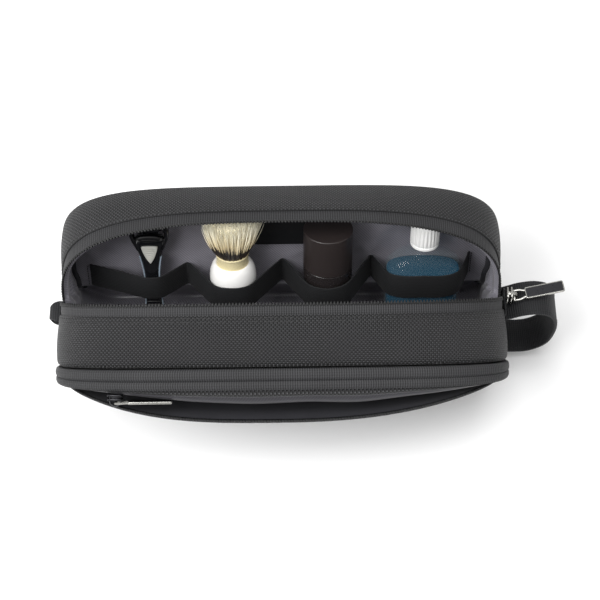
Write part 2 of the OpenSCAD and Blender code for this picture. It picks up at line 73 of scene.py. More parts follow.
def linear(hex_colour: str) -> tuple[float, float, float, float]:
    """Turn an sRGB hex colour into linear RGBA.

    Args:
        hex_colour: Colour as "#rrggbb".

    Returns:
        The linear colour with an alpha of 1.
    """
    parts = [int(hex_colour[i : i + 2], 16) / 255 for i in (1, 3, 5)]
    flat = [p / 12.92 if p <= 0.04045 else ((p + 0.055) / 1.055) ** 2.4 for p in parts]
    return (flat[0], flat[1], flat[2], 1.0)


def add(tree: NodeTree, kind: str, inputs: dict | None = None, stops: list | None = None,
        **settings: object) -> Node:
    """Add a shader node with its settings, numbers and links.

    Args:
        tree: Node tree of the material.
        kind: Node type without its "ShaderNode" prefix.
        inputs: Input name or index, to a number, a colour or another node's output.
        stops: Places and hex colours, for a colour ramp.
        settings: Properties of the node itself.

    Returns:
        The new node.
    """
    made = tree.nodes.new("ShaderNode" + kind)
    for key, value in settings.items():
        setattr(made, key, value)
    for key, value in (inputs or {}).items():
        if isinstance(value, (Node, NodeSocket)):
            socket = value.outputs[0] if isinstance(value, Node) else value
            tree.links.new(socket, made.inputs[key])
        else:
            made.inputs[key].default_value = value
    for place, (at, colour) in enumerate(stops or []):
        ramp = made.color_ramp.elements
        stop = ramp[place] if place < 2 else ramp.new(at)
        stop.position = at
        stop.color = linear(colour)
    return made


def new_material(name: str) -> Material:
    """Make an empty node material.

    Args:
        name: Name of the material.

    Returns:
        The material, with no nodes in it.
    """
    material = bpy.data.materials.new(name)
    material.use_nodes = True
    material.node_tree.nodes.clear()
    return material


class Weave(Enum):
    """Ways that a cloth is made."""

    BASKET = "basket"
    RIB = "rib"
    SATIN = "satin"
    KNIT = "knit"


@dataclass(frozen=True)
class Cloth:
    """A woven or knitted cloth, drawn from a piece's own millimetre coordinates, with painted shade in
    the gaps between its yarns and painted highlight on their crowns.
    """

    name: str
    weave: Weave
    # painted highlight: colour on the yarn crowns, where they catch the light
    high: str
    # painted shade: colour in the gaps between yarns, where shade falls
    low: str
    cell: float
    roughness: float
    relief: float
    sheen: float = 0.1
    patchy: float = 0.12
    strength: float = 0.8
    specular: float = 0.4
    contrast: float = 0.0

    def height(self, tree: NodeTree, place: NodeSocket) -> NodeSocket:
        """Draw how high the yarns stand.

        Args:
            tree: Node tree of the material.
            place: Coordinates counted in cells of the weave.

        Returns:
            The height, from 0 in the gaps to 1 on the yarns.
        """
        # a wave of this scale repeats once a cell
        once = math.tau / 20
        along = add(tree, "TexWave", {"Vector": place, "Scale": once}, bands_direction="X")
        across = add(tree, "TexWave", {"Vector": place, "Scale": once}, bands_direction="Y")
        if self.weave is Weave.BASKET:
            turn = add(tree, "TexChecker", {"Vector": place, "Scale": 1.0})
            crown = add(tree, "Mix", {0: turn.outputs["Fac"], 2: along.outputs["Fac"],
                3: across.outputs["Fac"]})
            both = add(tree, "Math", {0: along.outputs["Fac"], 1: across.outputs["Fac"]},
                operation="MULTIPLY")
            made = add(tree, "Mix", {0: 0.55, 2: crown, 3: both})
            return made.outputs[0]
        if self.weave is Weave.SATIN:
            twill = add(tree, "TexWave", {"Vector": place, "Scale": once}, bands_direction="DIAGONAL")
            return twill.outputs["Fac"]
        first, second = (along, across) if self.weave is Weave.RIB else (across, along)
        made = add(tree, "Mix", {0: 0.25, 2: first.outputs["Fac"], 3: second.outputs["Fac"]})
        return made.outputs[0]

    def build(self) -> Material:
        """Build the material.

        Returns:
            The finished material.
        """
        material = new_material(self.name)
        tree = material.node_tree
        place = add(tree, "UVMap", uv_map="UVMap")
        cells = add(tree, "VectorMath", {0: place, 3: 1 / self.cell}, operation="SCALE")
        yarn = self.height(tree, cells.outputs[0])
        wear = add(tree, "TexNoise", {"Vector": place, "Scale": 0.045, "Detail": 3.0})
        fuzz = add(tree, "TexNoise", {"Vector": place, "Scale": 1.9, "Detail": 2.0})
        # painted shade and highlight: colour runs from low in the gaps between yarns, where shade
        # falls, to high on the crowns that catch the light
        tone = add(tree, "ValToRGB", {0: yarn}, [(0.05, self.low), (0.75, self.high)])
        shade = add(tree, "MapRange", {0: wear, 1: 0.3, 2: 0.7, 3: 1 - self.patchy, 4: 1 + self.patchy})
        if self.contrast:
            # warp and weft catch the light differently
            turn = add(tree, "TexChecker", {"Vector": cells, "Scale": 1.0})
            side = add(tree, "MapRange", {0: turn.outputs["Fac"], 3: 1 - self.contrast,
                4: 1 + self.contrast})
            shade = add(tree, "Math", {0: shade, 1: side}, operation="MULTIPLY")
        grain = add(tree, "MapRange", {0: fuzz, 1: 0.3, 2: 0.7, 3: 0.86, 4: 1.14})
        both = add(tree, "Math", {0: shade, 1: grain}, operation="MULTIPLY")
        colour = add(tree, "VectorMath", {0: tone, 3: both}, operation="SCALE")
        bump = add(tree, "Bump", {"Height": yarn, "Distance": self.relief * MM,
            "Strength": self.strength})
        shader = add(tree, "BsdfPrincipled", {"Base Color": colour,
            "Roughness": self.roughness, "Specular IOR Level": self.specular,
            "Sheen Weight": self.sheen, "Sheen Roughness": 0.45, "Normal": bump})
        add(tree, "OutputMaterial", {"Surface": shader})
        return material


@dataclass(frozen=True)
class Solid:
    """A moulded, turned, painted or plated finish, with its own grain."""

    name: str
    colour: str
    roughness: float
    metallic: float = 0.0
    coat: float = 0.0
    grain: float = 1.5
    relief: float = 0.02
    spread: float = 0.08
    mottle: float = 0.06
    specular: float = 0.5
    stretch: tuple[float, float, float] = (1.0, 1.0, 1.0)

    def build(self) -> Material:
        """Build the material.

        Returns:
            The finished material.
        """
        material = new_material(self.name)
        tree = material.node_tree
        place = add(tree, "TexCoord")
        sized = add(tree, "Mapping", {"Vector": place.outputs["Object"],
            "Scale": [s / (self.grain * MM) for s in self.stretch]})
        speck = add(tree, "TexNoise", {"Vector": sized, "Scale": 1.0, "Detail": 3.0})
        cloud = add(tree, "TexNoise", {"Vector": place.outputs["Object"], "Scale": 60.0})
        rough = add(tree, "MapRange", {0: speck, 1: 0.3, 2: 0.7,
            3: max(0.02, self.roughness - self.spread), 4: self.roughness + self.spread})
        shade = add(tree, "MapRange", {0: cloud, 1: 0.3, 2: 0.7, 3: 1 - self.mottle,
            4: 1 + self.mottle})
        colour = add(tree, "VectorMath", {0: linear(self.colour)[:3], 3: shade}, operation="SCALE")
        bump = add(tree, "Bump", {"Height": speck, "Distance": self.relief * MM, "Strength": 0.5})
        shader = add(tree, "BsdfPrincipled", {"Base Color": colour,
            "Roughness": rough, "Metallic": self.metallic,
            "Specular IOR Level": self.specular, "Coat Weight": self.coat, "Coat Roughness": 0.06,
            "Normal": bump})
        add(tree, "OutputMaterial", {"Surface": shader})
        return material


@dataclass(frozen=True)
class Clear:
    """A clear plastic or liquid, seen through as a tinted film."""

    name: str
    colour: str
    roughness: float
    ior: float
    film: float = 0.2
    ripple: float = 0.05

    def build(self) -> Material:
        """Build the material.

        Returns:
            The finished material.
        """
        material = new_material(self.name)
        tree = material.node_tree
        place = add(tree, "TexCoord")
        wave = add(tree, "TexNoise", {"Vector": place.outputs["Object"], "Scale": 160.0, "Detail": 1.0})
        tone = add(tree, "MapRange", {0: wave, 1: 0.3, 2: 0.7, 3: 0.95, 4: 1.0})
        colour = add(tree, "VectorMath", {0: linear(self.colour)[:3], 3: tone}, operation="SCALE")
        bump = add(tree, "Bump", {"Height": wave, "Distance": self.ripple * MM, "Strength": 0.6})
        shader = add(tree, "BsdfPrincipled", {"Base Color": colour,
            "Roughness": self.roughness, "IOR": self.ior, "Alpha": self.film, "Coat Weight": 0.6,
            "Coat Roughness": 0.03, "Normal": bump})
        add(tree, "OutputMaterial", {"Surface": shader})
        return material


@dataclass(frozen=True)
class Hair:
    """Bristle hair, dark in a band near its root and cream to its tip."""

    name: str
    root: str = "#a08a68"
    band: str = "#24170f"
    tip: str = "#fbf0d0"

    def build(self) -> Material:
        """Build the material.

        Returns:
            The finished material.
        """
        material = new_material(self.name)
        tree = material.node_tree
        place = add(tree, "UVMap", uv_map="UVMap")
        parts = add(tree, "SeparateXYZ", {0: place})
        jitter = add(tree, "TexWhiteNoise", {"W": parts}, noise_dimensions="1D")
        shift = add(tree, "MapRange", {0: jitter, 1: 0.0, 2: 1.0, 3: -0.09, 4: 0.11})
        along = add(tree, "Math", {0: parts.outputs[1], 1: shift}, operation="ADD")
        tone = add(tree, "ValToRGB", {0: along},
            [(0.0, self.root), (1.0, "#fffbe8"), (0.11, self.band), (0.35, self.band),
            (0.41, "#ecd9ab"), (0.6, self.tip)])
        light = add(tree, "MapRange", {0: jitter, 1: 0.0, 2: 1.0, 3: 0.72, 4: 1.12})
        colour = add(tree, "VectorMath", {0: tone, 3: light}, operation="SCALE")
        shader = add(tree, "BsdfPrincipled", {"Base Color": colour, "Roughness": 0.5,
            "Specular IOR Level": 0.35, "Sheen Weight": 0.2})
        add(tree, "OutputMaterial", {"Surface": shader})
        return material


# in each cloth below, the first colour is painted highlight on the yarn crowns and the second is
# painted shade in the gaps between yarns
# coarse basket-woven polyester: yarn ends drawn about twice their real width, so that they show
NYLON = Cloth("woven_polyester_basket", Weave.BASKET, "#2e2e30", "#050506", 1.15, 0.58, 0.5, 0.02, 0.1,
    1.0, 0.45, 0.85)
# same cloth on the panels, which take less wear
PANEL = Cloth("woven_polyester_panel", Weave.BASKET, "#2d2d2e", "#050506", 1.15, 0.62, 0.5, 0.02, 0.1,
    1.0, 0.4, 0.85)
# zip tape, woven polyester: fine ribs run across it
TAPE = Cloth("woven_zip_tape", Weave.RIB, "#313133", "#0d0d0e", 1.4, 0.66, 0.35, 0.02)
# lining, woven polyester satin: smooth and softly shiny, its twill drawn at twice its pitch
SATIN = Cloth("woven_satin_lining", Weave.SATIN, "#86848c", "#6b6970", 0.9, 0.3, 0.04, 0.25, 0.16, 0.4,
    0.9)
# the pocket's lining, a plain dark taffeta
TAFFETA = Cloth("woven_taffeta_lining", Weave.SATIN, "#35353a", "#28282c", 0.8, 0.5, 0.04, 0.06, 0.1,
    0.4)
# the facing rolled out of the pocket, a mid-grey satin
FACING = Cloth("woven_satin_facing", Weave.SATIN, "#302f34", "#232226", 0.9, 0.42, 0.04, 0.1, 0.12,
    0.4, 0.5)
# knitted elastic, flat black with fine ribs along it
ELASTIC = Cloth("knitted_elastic", Weave.KNIT, "#0e0f12", "#050606", 1.2, 0.75, 0.2, 0.03)
# polyester webbing, heavy ribs across a narrow weave
WEBBING = Cloth("woven_webbing", Weave.RIB, "#1b1c1f", "#080809", 1.4, 0.7, 0.35, 0.04)
# bias binding, folded tape over the inner seams
BINDING = Cloth("folded_bias_binding", Weave.RIB, "#2d2d32", "#18181b", 1.1, 0.6, 0.2)
# twisted sewing thread
THREAD = Solid("twisted_sewing_thread", "#0c0c0d", 0.6, grain=0.4, relief=0.05)
# nylon coil of the zips, satin black
COIL = Solid("nylon_zip_coil", "#131314", 0.62, grain=0.8)
# die-cast zinc with a nickel plating, bright with a soft polish
NICKEL = Solid("nickel_plated_zinc", "#aeada8", 0.26, metallic=1.0, grain=2.0, spread=0.07)
# the same casting with a dark gunmetal plating
GUNMETAL = Solid("gunmetal_plated_zinc", "#363638", 0.34, metallic=1.0, grain=1.2, spread=0.08)
# glossy black ABS of the razor
BLACK_ABS = Solid("moulded_black_abs", "#121315", 0.14, coat=0.4, grain=3.0, relief=0.01)
# rubber pad of the razor
RUBBER = Solid("moulded_black_rubber", "#0e0e10", 0.42, grain=0.6, relief=0.05)
# silver-painted ABS
SILVER_ABS = Solid("painted_silver_abs", "#b4b4ad", 0.34, grain=0.5, relief=0.02)
# pale blue metallic rails along the razor's neck
RAIL_ABS = Solid("painted_steel_blue_abs", "#8d9aa6", 0.26, grain=0.8, coat=0.3)
# stropped steel
BLADE = Solid("ground_blade_steel", "#d5d7d8", 0.18, metallic=1.0, stretch=(0.1, 1.0, 1.0))
# cast resin of the brush handle, glossy white
RESIN = Solid("cast_white_resin", "#f4f3f0", 0.16, coat=0.5, grain=6.0, relief=0.01, mottle=0.02)
# cream plastic collar of the brush
COLLAR = Solid("moulded_cream_plastic", "#dccfa4", 0.3, grain=1.0, relief=0.03)
# lacquered aluminium of the can, dark brown with a satin gloss
LACQUER = Solid("lacquered_aluminium", "#211d1d", 0.3, coat=0.25, grain=1.2, relief=0.01)
# moulded cap of the can, a shade browner
CAP_BROWN = Solid("moulded_brown_polypropylene", "#2a2423", 0.38, grain=0.7, relief=0.03)
# bare rolled rim of the can
RIM = Solid("rolled_aluminium_rim", "#4a403c", 0.3, metallic=1.0)
# white polypropylene
WHITE_PP = Solid("moulded_white_polypropylene", "#f3f3f1", 0.34, grain=1.0, mottle=0.02)
# blown PET, thin and clear
PET = Clear("blown_clear_pet", "#8fa6ae", 0.04, 1.575, 0.09)
# blue mouthwash
MOUTHWASH = Clear("blue_mouthwash", "#003a52", 0.08, 1.33, 1.0)
# rubber label, dull black
LABEL = Solid("moulded_rubber_label", "#101113", 0.5, grain=0.5, relief=0.05)
# stiffener board
BOARD = Solid("extruded_polypropylene_board", "#222222", 0.6, grain=2.0)
# badger hair, pale tips over a dark band, each hair catching the light
BRISTLE = Hair("trimmed_badger_hair")

_made: dict[str, Material] = {}


def material_of(finish: Cloth | Solid | Clear | Hair) -> Material:
    """Give the one material of a finish, made on its first use.

    Args:
        finish: The finish.

    Returns:
        Its material.
    """
    if finish.name not in _made:
        _made[finish.name] = finish.build()
    return _made[finish.name]


# ---- mesh tools


def points_of(*rows: Array) -> Array:
    """Set rows of coordinates side by side, so that each place is a point."""
    return np.stack(rows, axis=1)


@dataclass
class Shape:
    """Points in millimetres, faces and the weave's own coordinates."""

    points: Array
    faces: list
    weave: Array

    def __add__(self, other: "Shape") -> "Shape":
        """Put two shapes in one mesh.

        Args:
            other: The shape to add.

        Returns:
            Both, as one shape.
        """
        count = len(self.points)
        faces = self.faces + [tuple(i + count for i in f) for f in other.faces]
        return Shape(np.vstack([self.points, other.points]), faces,
            np.vstack([self.weave, other.weave]))

    def moved(self, turn: Array, shift: Array) -> "Shape":
        """Turn the shape by a matrix of axis rows, then shift it."""
        return Shape(self.points @ np.asarray(turn, float) + np.asarray(shift), self.faces, self.weave)


def joined(shapes: list[Shape]) -> Shape:
    """Put many shapes in one mesh.

    Args:
        shapes: The shapes.

    Returns:
        One shape of them all.
    """
    counts = np.cumsum([0] + [len(s.points) for s in shapes])
    faces = [tuple(i + c for i in f) for s, c in zip(shapes, counts) for f in s.faces]
    return Shape(np.vstack([s.points for s in shapes]), faces, np.vstack([s.weave for s in shapes]))


def grid(points: Array, weave: Array | None = None, round_cols: bool = False) -> Shape:
    """Make a sheet of quads from rows of points.

    Args:
        points: Array of rows, columns and x, y, z.
        weave: Millimetre coordinates of the same rows and columns, or measured off the sheet.
        round_cols: Whether each row closes on itself.

    Returns:
        The sheet.
    """
    rows, cols = points.shape[:2]
    if weave is None:
        steps = np.linalg.norm(np.diff(points, axis=1), axis=2)
        across = np.linalg.norm(np.diff(points, axis=0), axis=2).mean(axis=1)
        weave = np.zeros((rows, cols, 2))
        weave[:, 1:, 0] = np.cumsum(steps, axis=1)
        weave[1:, :, 1] = np.cumsum(across)[:, None]
    last = cols if round_cols else cols - 1
    faces = []
    for r in range(rows - 1):
        for c in range(last):
            d = (c + 1) % cols
            faces.append((r * cols + c, r * cols + d, (r + 1) * cols + d, (r + 1) * cols + c))
    return Shape(points.reshape(-1, 3), faces, weave.reshape(-1, 2))


def capped(made: Shape, around: int) -> Shape:
    """Close both ends of a tube.

    Args:
        made: The open tube.
        around: Points in each of its rings.

    Returns:
        The same shape, closed.
    """
    count = len(made.points)
    made.faces.append(tuple(reversed(range(around))))
    made.faces.append(tuple(range(count - around, count)))
    return made


def sweep(path: Array, across: Array, section: Array) -> Shape:
    """Carry a closed section along a path.

    Args:
        path: Points of the path.
        across: Direction of the section's first axis at each point.
        section: Points of the section along its two axes.

    Returns:
        The swept solid, with flat ends.
    """
    _, side, up = frames(path, across)
    around = len(section)
    points = path[:, None, :] + section[None, :, 0, None] * side[:, None, :]
    points = points + section[None, :, 1, None] * up[:, None, :]
    run = run_of(path)
    loop = np.vstack([section, section[:1]])
    girth = run_of(loop)[:-1]
    weave = np.stack(np.meshgrid(run, girth, indexing="ij"), axis=2)
    made = grid(points, weave, round_cols=True)
    made.faces.append(tuple(range(around)))
    made.faces.append(tuple(reversed(range((len(path) - 1) * around, len(path) * around))))
    return made


def frames(path: Array, across: Array) -> tuple[Array, Array, Array]:
    """Give the axes along a path.

    Args:
        path: Points of the path.
        across: Rough sideways direction at each point.

    Returns:
        Unit directions ahead, sideways and square to both.
    """
    ahead = np.gradient(path, axis=0)
    ahead /= np.linalg.norm(ahead, axis=1)[:, None]
    side = across - ahead * np.sum(across * ahead, axis=1)[:, None]
    side /= np.linalg.norm(side, axis=1)[:, None]
    return ahead, side, np.cross(ahead, side)


def sideways(path: Array) -> Array:
    """Give the direction from front to back at each point of a path."""
    return np.tile([0.0, 1.0, 0.0], (len(path), 1))


def run_of(path: Array) -> Array:
    """Give the length along a path up to each of its points."""
    return np.concatenate([[0], np.cumsum(np.linalg.norm(np.diff(path, axis=0), axis=1))])


def spaced(path: Array, count: int) -> Array:
    """Space a flat path evenly by its length.

    Args:
        path: Points of the path.
        count: Number of stretches.

    Returns:
        The even points.
    """
    run = run_of(path)
    want = np.linspace(0, run[-1], count + 1)
    return np.stack([np.interp(want, run, path[:, k]) for k in (0, 1)], axis=1)


def resampled(path: Array, pitch: float, *extra: Array) -> list[Array]:
    """Space a path evenly.

    Args:
        path: Points of the path.
        pitch: Distance wanted between points.
        extra: More rows to space in the same way.

    Returns:
        The evenly spaced path and extra rows.
    """
    run = run_of(path)
    count = max(2, int(round(run[-1] / pitch)))
    want = (np.arange(count) + 0.5) * run[-1] / count
    columns = [[np.interp(want, run, row) for row in rows.T] for rows in (path, *extra)]
    return [np.stack(column, axis=1) for column in columns]


def bead(length: float, width: float, high: float, sides: int = 8) -> Shape:
    """Make a small rounded bar along its first axis.

    Args:
        length: Size along the first axis.
        width: Size along the second axis.
        high: Size along the third axis.
        sides: Number of sides around it.

    Returns:
        The bar, centred on the origin.
    """
    stations = [(-0.5, 0.35), (-0.38, 0.85), (0.0, 1.0), (0.38, 0.85), (0.5, 0.35)]
    turn = np.arange(sides) * math.tau / sides
    rows = [points_of(np.full(sides, at * length), 0.5 * width * size * np.cos(turn),
        0.5 * high * size * np.sin(turn)) for at, size in stations]
    return capped(grid(np.array(rows), round_cols=True), sides)


def row_of(part: Shape, path: Array, across: Array) -> Shape:
    """Repeat a small part along a path.

    Args:
        part: The part, with its first axis along the path.
        path: Place of each copy.
        across: Sideways direction at each place.

    Returns:
        All copies in one shape.
    """
    ahead, side, up = frames(path, across)
    axes = points_of(ahead, side, up)
    points = np.einsum("vk,nkj->nvj", part.points, axes) + path[:, None, :]
    count = len(part.points)
    faces = [tuple(i + n * count for i in f) for n in range(len(path)) for f in part.faces]
    return Shape(points.reshape(-1, 3), faces, np.tile(part.weave, (len(path), 1)))


def lathe(profile: list, sides: int = 64, smooth: int = 0) -> Shape:
    """Turn a profile about the third axis.

    Args:
        profile: Radius and height pairs from the bottom up.
        sides: Number of steps around.
        smooth: Points to add in each stretch of a curve through the profile.

    Returns:
        The turned shape.
    """
    line = np.asarray(profile, float)
    if smooth:
        line = curve_through(line, smooth)
    turn = np.arange(sides) * math.tau / sides
    points = np.stack([line[:, 0, None] * np.cos(turn), line[:, 0, None] * np.sin(turn),
        np.repeat(line[:, 1, None], sides, axis=1)], axis=2)
    return capped(grid(points, round_cols=True), sides)


def curve_through(line: Array, steps: int) -> Array:
    """Draw a smooth curve through points.

    Args:
        line: The points.
        steps: Points in each stretch.

    Returns:
        Points of the curve.
    """
    padded = np.vstack([2 * line[0] - line[1], line, 2 * line[-1] - line[-2]])
    made = []
    for i in range(1, len(padded) - 2):
        a, b, c, d = padded[i - 1 : i + 3]
        for s in np.arange(steps) / steps:
            square, cube = 2 * a - 5 * b + 4 * c - d, 3 * b - a - 3 * c + d
            made.append(0.5 * (2 * b + (c - a) * s + square * s**2 + cube * s**3))
    made.append(line[-1])
    return np.array(made)


def oval(a: float, b: float, square: float = 2.0, sides: int = 48) -> Array:
    """Give the points of an oval that gets squarer as square grows past 2.

    Args:
        a: Half width.
        b: Half height.
        square: How square it is; 2 is an ellipse.
        sides: Number of points.

    Returns:
        Points round the oval.
    """
    turn = np.arange(sides) * math.tau / sides
    c, s = np.cos(turn), np.sin(turn)
    return points_of(a * np.sign(c) * np.abs(c) ** (2 / square),
        b * np.sign(s) * np.abs(s) ** (2 / square))


def loft(sections: list, sides: int = 48) -> Shape:
    """Stretch a skin over level ovals.

    Args:
        sections: Height, half width, half depth, squareness and optional x, y shift of each.
        sides: Number of steps around.

    Returns:
        The closed shape.
    """
    rows = []
    for high, a, b, square, *shift in sections:
        ring = oval(a, b, square, sides)
        if shift:
            ring = ring + np.asarray(shift[:2])
        rows.append(np.column_stack([ring, np.full(sides, high)]))
    made = grid(np.array(rows), round_cols=True)
    return capped(made, sides)


def plate(outlines: list, thick: float, edge: float = 0.25) -> Shape:
    """Cut a flat plate with rounded edges.

    Args:
        outlines: Closed outlines, the first outside and the others holes.
        thick: Thickness, centred on the plane.
        edge: Rounding of the edges.

    Returns:
        The plate in the plane of the first two axes.
    """
    data = bpy.data.curves.new("plate", "CURVE")
    data.dimensions = "2D"
    data.fill_mode = "BOTH"
    data.extrude = max(0.001, thick / 2 - edge)
    data.bevel_depth = edge
    data.bevel_resolution = 2
    data.offset = -edge
    for outline in outlines:
        spline = data.splines.new("POLY")
        spline.points.add(len(outline) - 1)
        spline.use_cyclic_u = True
        for point, (x, y) in zip(spline.points, outline):
            point.co = (x, y, 0, 1)
    holder = bpy.data.objects.new("plate", data)
    bpy.context.scene.collection.objects.link(holder)
    graph = bpy.context.evaluated_depsgraph_get()
    mesh = bpy.data.meshes.new_from_object(holder.evaluated_get(graph))
    points = np.array([v.co for v in mesh.vertices]).reshape(-1, 3)
    faces = [tuple(p.vertices) for p in mesh.polygons]
    bpy.data.objects.remove(holder)
    bpy.data.curves.remove(data)
    bpy.data.meshes.remove(mesh)
    return Shape(points, faces, points[:, :2].copy())


def rounded(width: float, high: float, radius: float, steps: int = 5) -> Array:
    """Give the outline of a rounded rectangle about the origin.

    Args:
        width: Full width.
        high: Full height.
        radius: Corner radius.
        steps: Points in each corner.

    Returns:
        Points round the outline.
    """
    points = []
    for x, y, start in ((1, 1, 0), (-1, 1, 90), (-1, -1, 180), (1, -1, 270)):
        for q in np.radians(np.linspace(start, start + 90, steps)):
            points.append((x * (width / 2 - radius) + radius * math.cos(q),
                y * (high / 2 - radius) + radius * math.sin(q)))
    return np.array(points)


def piece(name: str, shape: Shape, finish: Cloth | Solid | Clear | Hair,
        body: str | None = None, crease: float = 50.0, outward: bool = False,
        stands: str | None = None) -> Object:
    """Make the object of a piece.

    Args:
        name: Name of the piece.
        shape: Its shape in millimetres.
        finish: Its finish.
        body: Body that it rides on, or none for a piece left unattached.
        crease: Angle in degrees above which an edge stays sharp.
        outward: Whether to turn all faces outward.
        stands: The design's node that it stands for, or none.

    Returns:
        The object.
    """
    mesh = bpy.data.meshes.new(name)
    mesh.from_pydata((shape.points * MM).tolist(), [], shape.faces)
    layer = mesh.uv_layers.new(name="UVMap")
    corners = np.zeros(len(mesh.loops), np.int32)
    mesh.loops.foreach_get("vertex_index", corners)
    layer.data.foreach_set("uv", shape.weave[corners].astype(np.float32).ravel())
    if outward:
        work = bmesh.new()
        work.from_mesh(mesh)
        bmesh.ops.recalc_face_normals(work, faces=work.faces)
        work.to_mesh(mesh)
        work.free()
    mesh.shade_smooth()
    mesh.set_sharp_from_angle(angle=math.radians(crease))
    mesh.materials.append(material_of(finish))
    made = bpy.data.objects.new(name, mesh)
    bpy.context.scene.collection.objects.link(made)
    if body:
        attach(made, body)
    if stands:
        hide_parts(stands)
    log.info("made %s with %d faces", name, len(shape.faces))
    return made


def smooth_step(value: Array | float) -> Array:
    """Rise smoothly from 0 to 1."""
    s = np.clip(value, 0, 1)
    return s * s * (3 - 2 * s)


def ripple(x: Array, y: Array, size: float, seed: float) -> Array:
    """Give smooth noise of about -1 to 1 with features of a size, at each place.

    Args:
        x: First coordinate of each place.
        y: Second coordinate of each place.
        size: Size of the features in mm.
        seed: Number that picks the pattern.

    Returns:
        The noise at each place.
    """
    flat_x, flat_y = np.broadcast_arrays(np.asarray(x, float), np.asarray(y, float))
    pairs = zip(flat_x.ravel(), flat_y.ravel())
    made = [noise.noise(Vector((a / size, b / size, seed))) for a, b in pairs]
    return np.array(made).reshape(flat_x.shape) * 1.6


# ---- the bag's own form


@dataclass(frozen=True)
class BagForm:
    """Outline of the bag seen from the front, from its zip to its panel."""

    half_w: float = 137.0
    arch_h: float = 60.0
    half_d: float = 38.0
    square: float = 4.4
    zip_w: float = 135.4
    zip_h: float = 59.2
    zip_square: float = 2.8
    low: float = 70.0
    corner_r: float = 28.0
    edge_r: float = 4.0
    arch_n: int = 140
    side_n: int = 18
    corner_n: int = 12
    bottom_n: int = 56

    @property
    def hinge(self) -> tuple[int, int]:
        """Columns of the right and the left zip end."""
        first = self.bottom_n // 2 + self.corner_n + self.side_n
        return first, first + self.arch_n

    def arch_turn(self) -> Array:
        """Angles that space the arch evenly.

        Returns:
            Angles from the right end to the left.
        """
        q = np.linspace(0, math.pi, 4000)
        n = (self.square + self.zip_square) / 2
        x = self.half_w * np.sign(np.cos(q)) * np.abs(np.cos(q)) ** (2 / n)
        t = self.arch_h * np.sin(q) ** (2 / n)
        run = np.concatenate([[0], np.cumsum(np.hypot(np.diff(x), np.diff(t)))])
        return np.interp(np.linspace(0, run[-1], self.arch_n + 1), run, q)

    def ring(self, depth: Array | float, inset: Array | float) -> Array:
        """Give the outline at a depth, from the middle of the bottom round by the right.

        Args:
            depth: Depth from the main zip, one number or one a column.
            inset: How far inside the outline, one number or one a column.

        Returns:
            Sideways place and height of every column; the last repeats the first.
        """
        total = self.bottom_n + 2 * self.corner_n + 2 * self.side_n + self.arch_n + 1
        share = smooth_step(np.broadcast_to(np.asarray(depth, float), total) / self.half_d)
        inset = np.broadcast_to(np.asarray(inset, float), total)
        a = self.zip_w + (self.half_w - self.zip_w) * share - inset
        high = self.zip_h + (self.arch_h - self.zip_h) * share - inset
        power = 2 / (self.zip_square + (self.square - self.zip_square) * share)
        r = np.maximum(self.corner_r - inset, 1.0)
        low = self.low - inset
        half = self.bottom_n // 2
        side = np.full(total, 0.0)
        up = np.full(total, 0.0)
        lead = np.arange(total)
        spans = np.cumsum([0, half, self.corner_n, self.side_n, self.arch_n, self.side_n,
            self.corner_n])
        for sign, first in ((1, spans[0]), (-1, spans[6])):
            part = lead[first : first + half + 1]
            share_x = (part - first) / half
            share_x = share_x if sign > 0 else 1 - share_x
            side[part] = sign * share_x * (a - r)[part]
            up[part] = -low[part]
        for sign, first in ((1, spans[1]), (-1, spans[5])):
            part = lead[first : first + self.corner_n + 1]
            q = (part - first) / self.corner_n * math.pi / 2
            q = q if sign > 0 else math.pi / 2 - q
            side[part] = sign * ((a - r)[part] + r[part] * np.sin(q))
            up[part] = (r - low)[part] - r[part] * np.cos(q)
        for sign, first in ((1, spans[2]), (-1, spans[4])):
            part = lead[first : first + self.side_n + 1]
            q = (part - first) / self.side_n
            q = 1 - q if sign > 0 else q
            side[part] = sign * a[part]
            up[part] = (r - low)[part] * q
        part = lead[spans[3] : spans[3] + self.arch_n + 1]
        q = self.arch_turn()
        c, s = np.cos(q), np.abs(np.sin(q))
        side[part] = a[part] * np.sign(c) * np.abs(c) ** power[part]
        up[part] = high[part] * s ** power[part]
        return points_of(side, up)


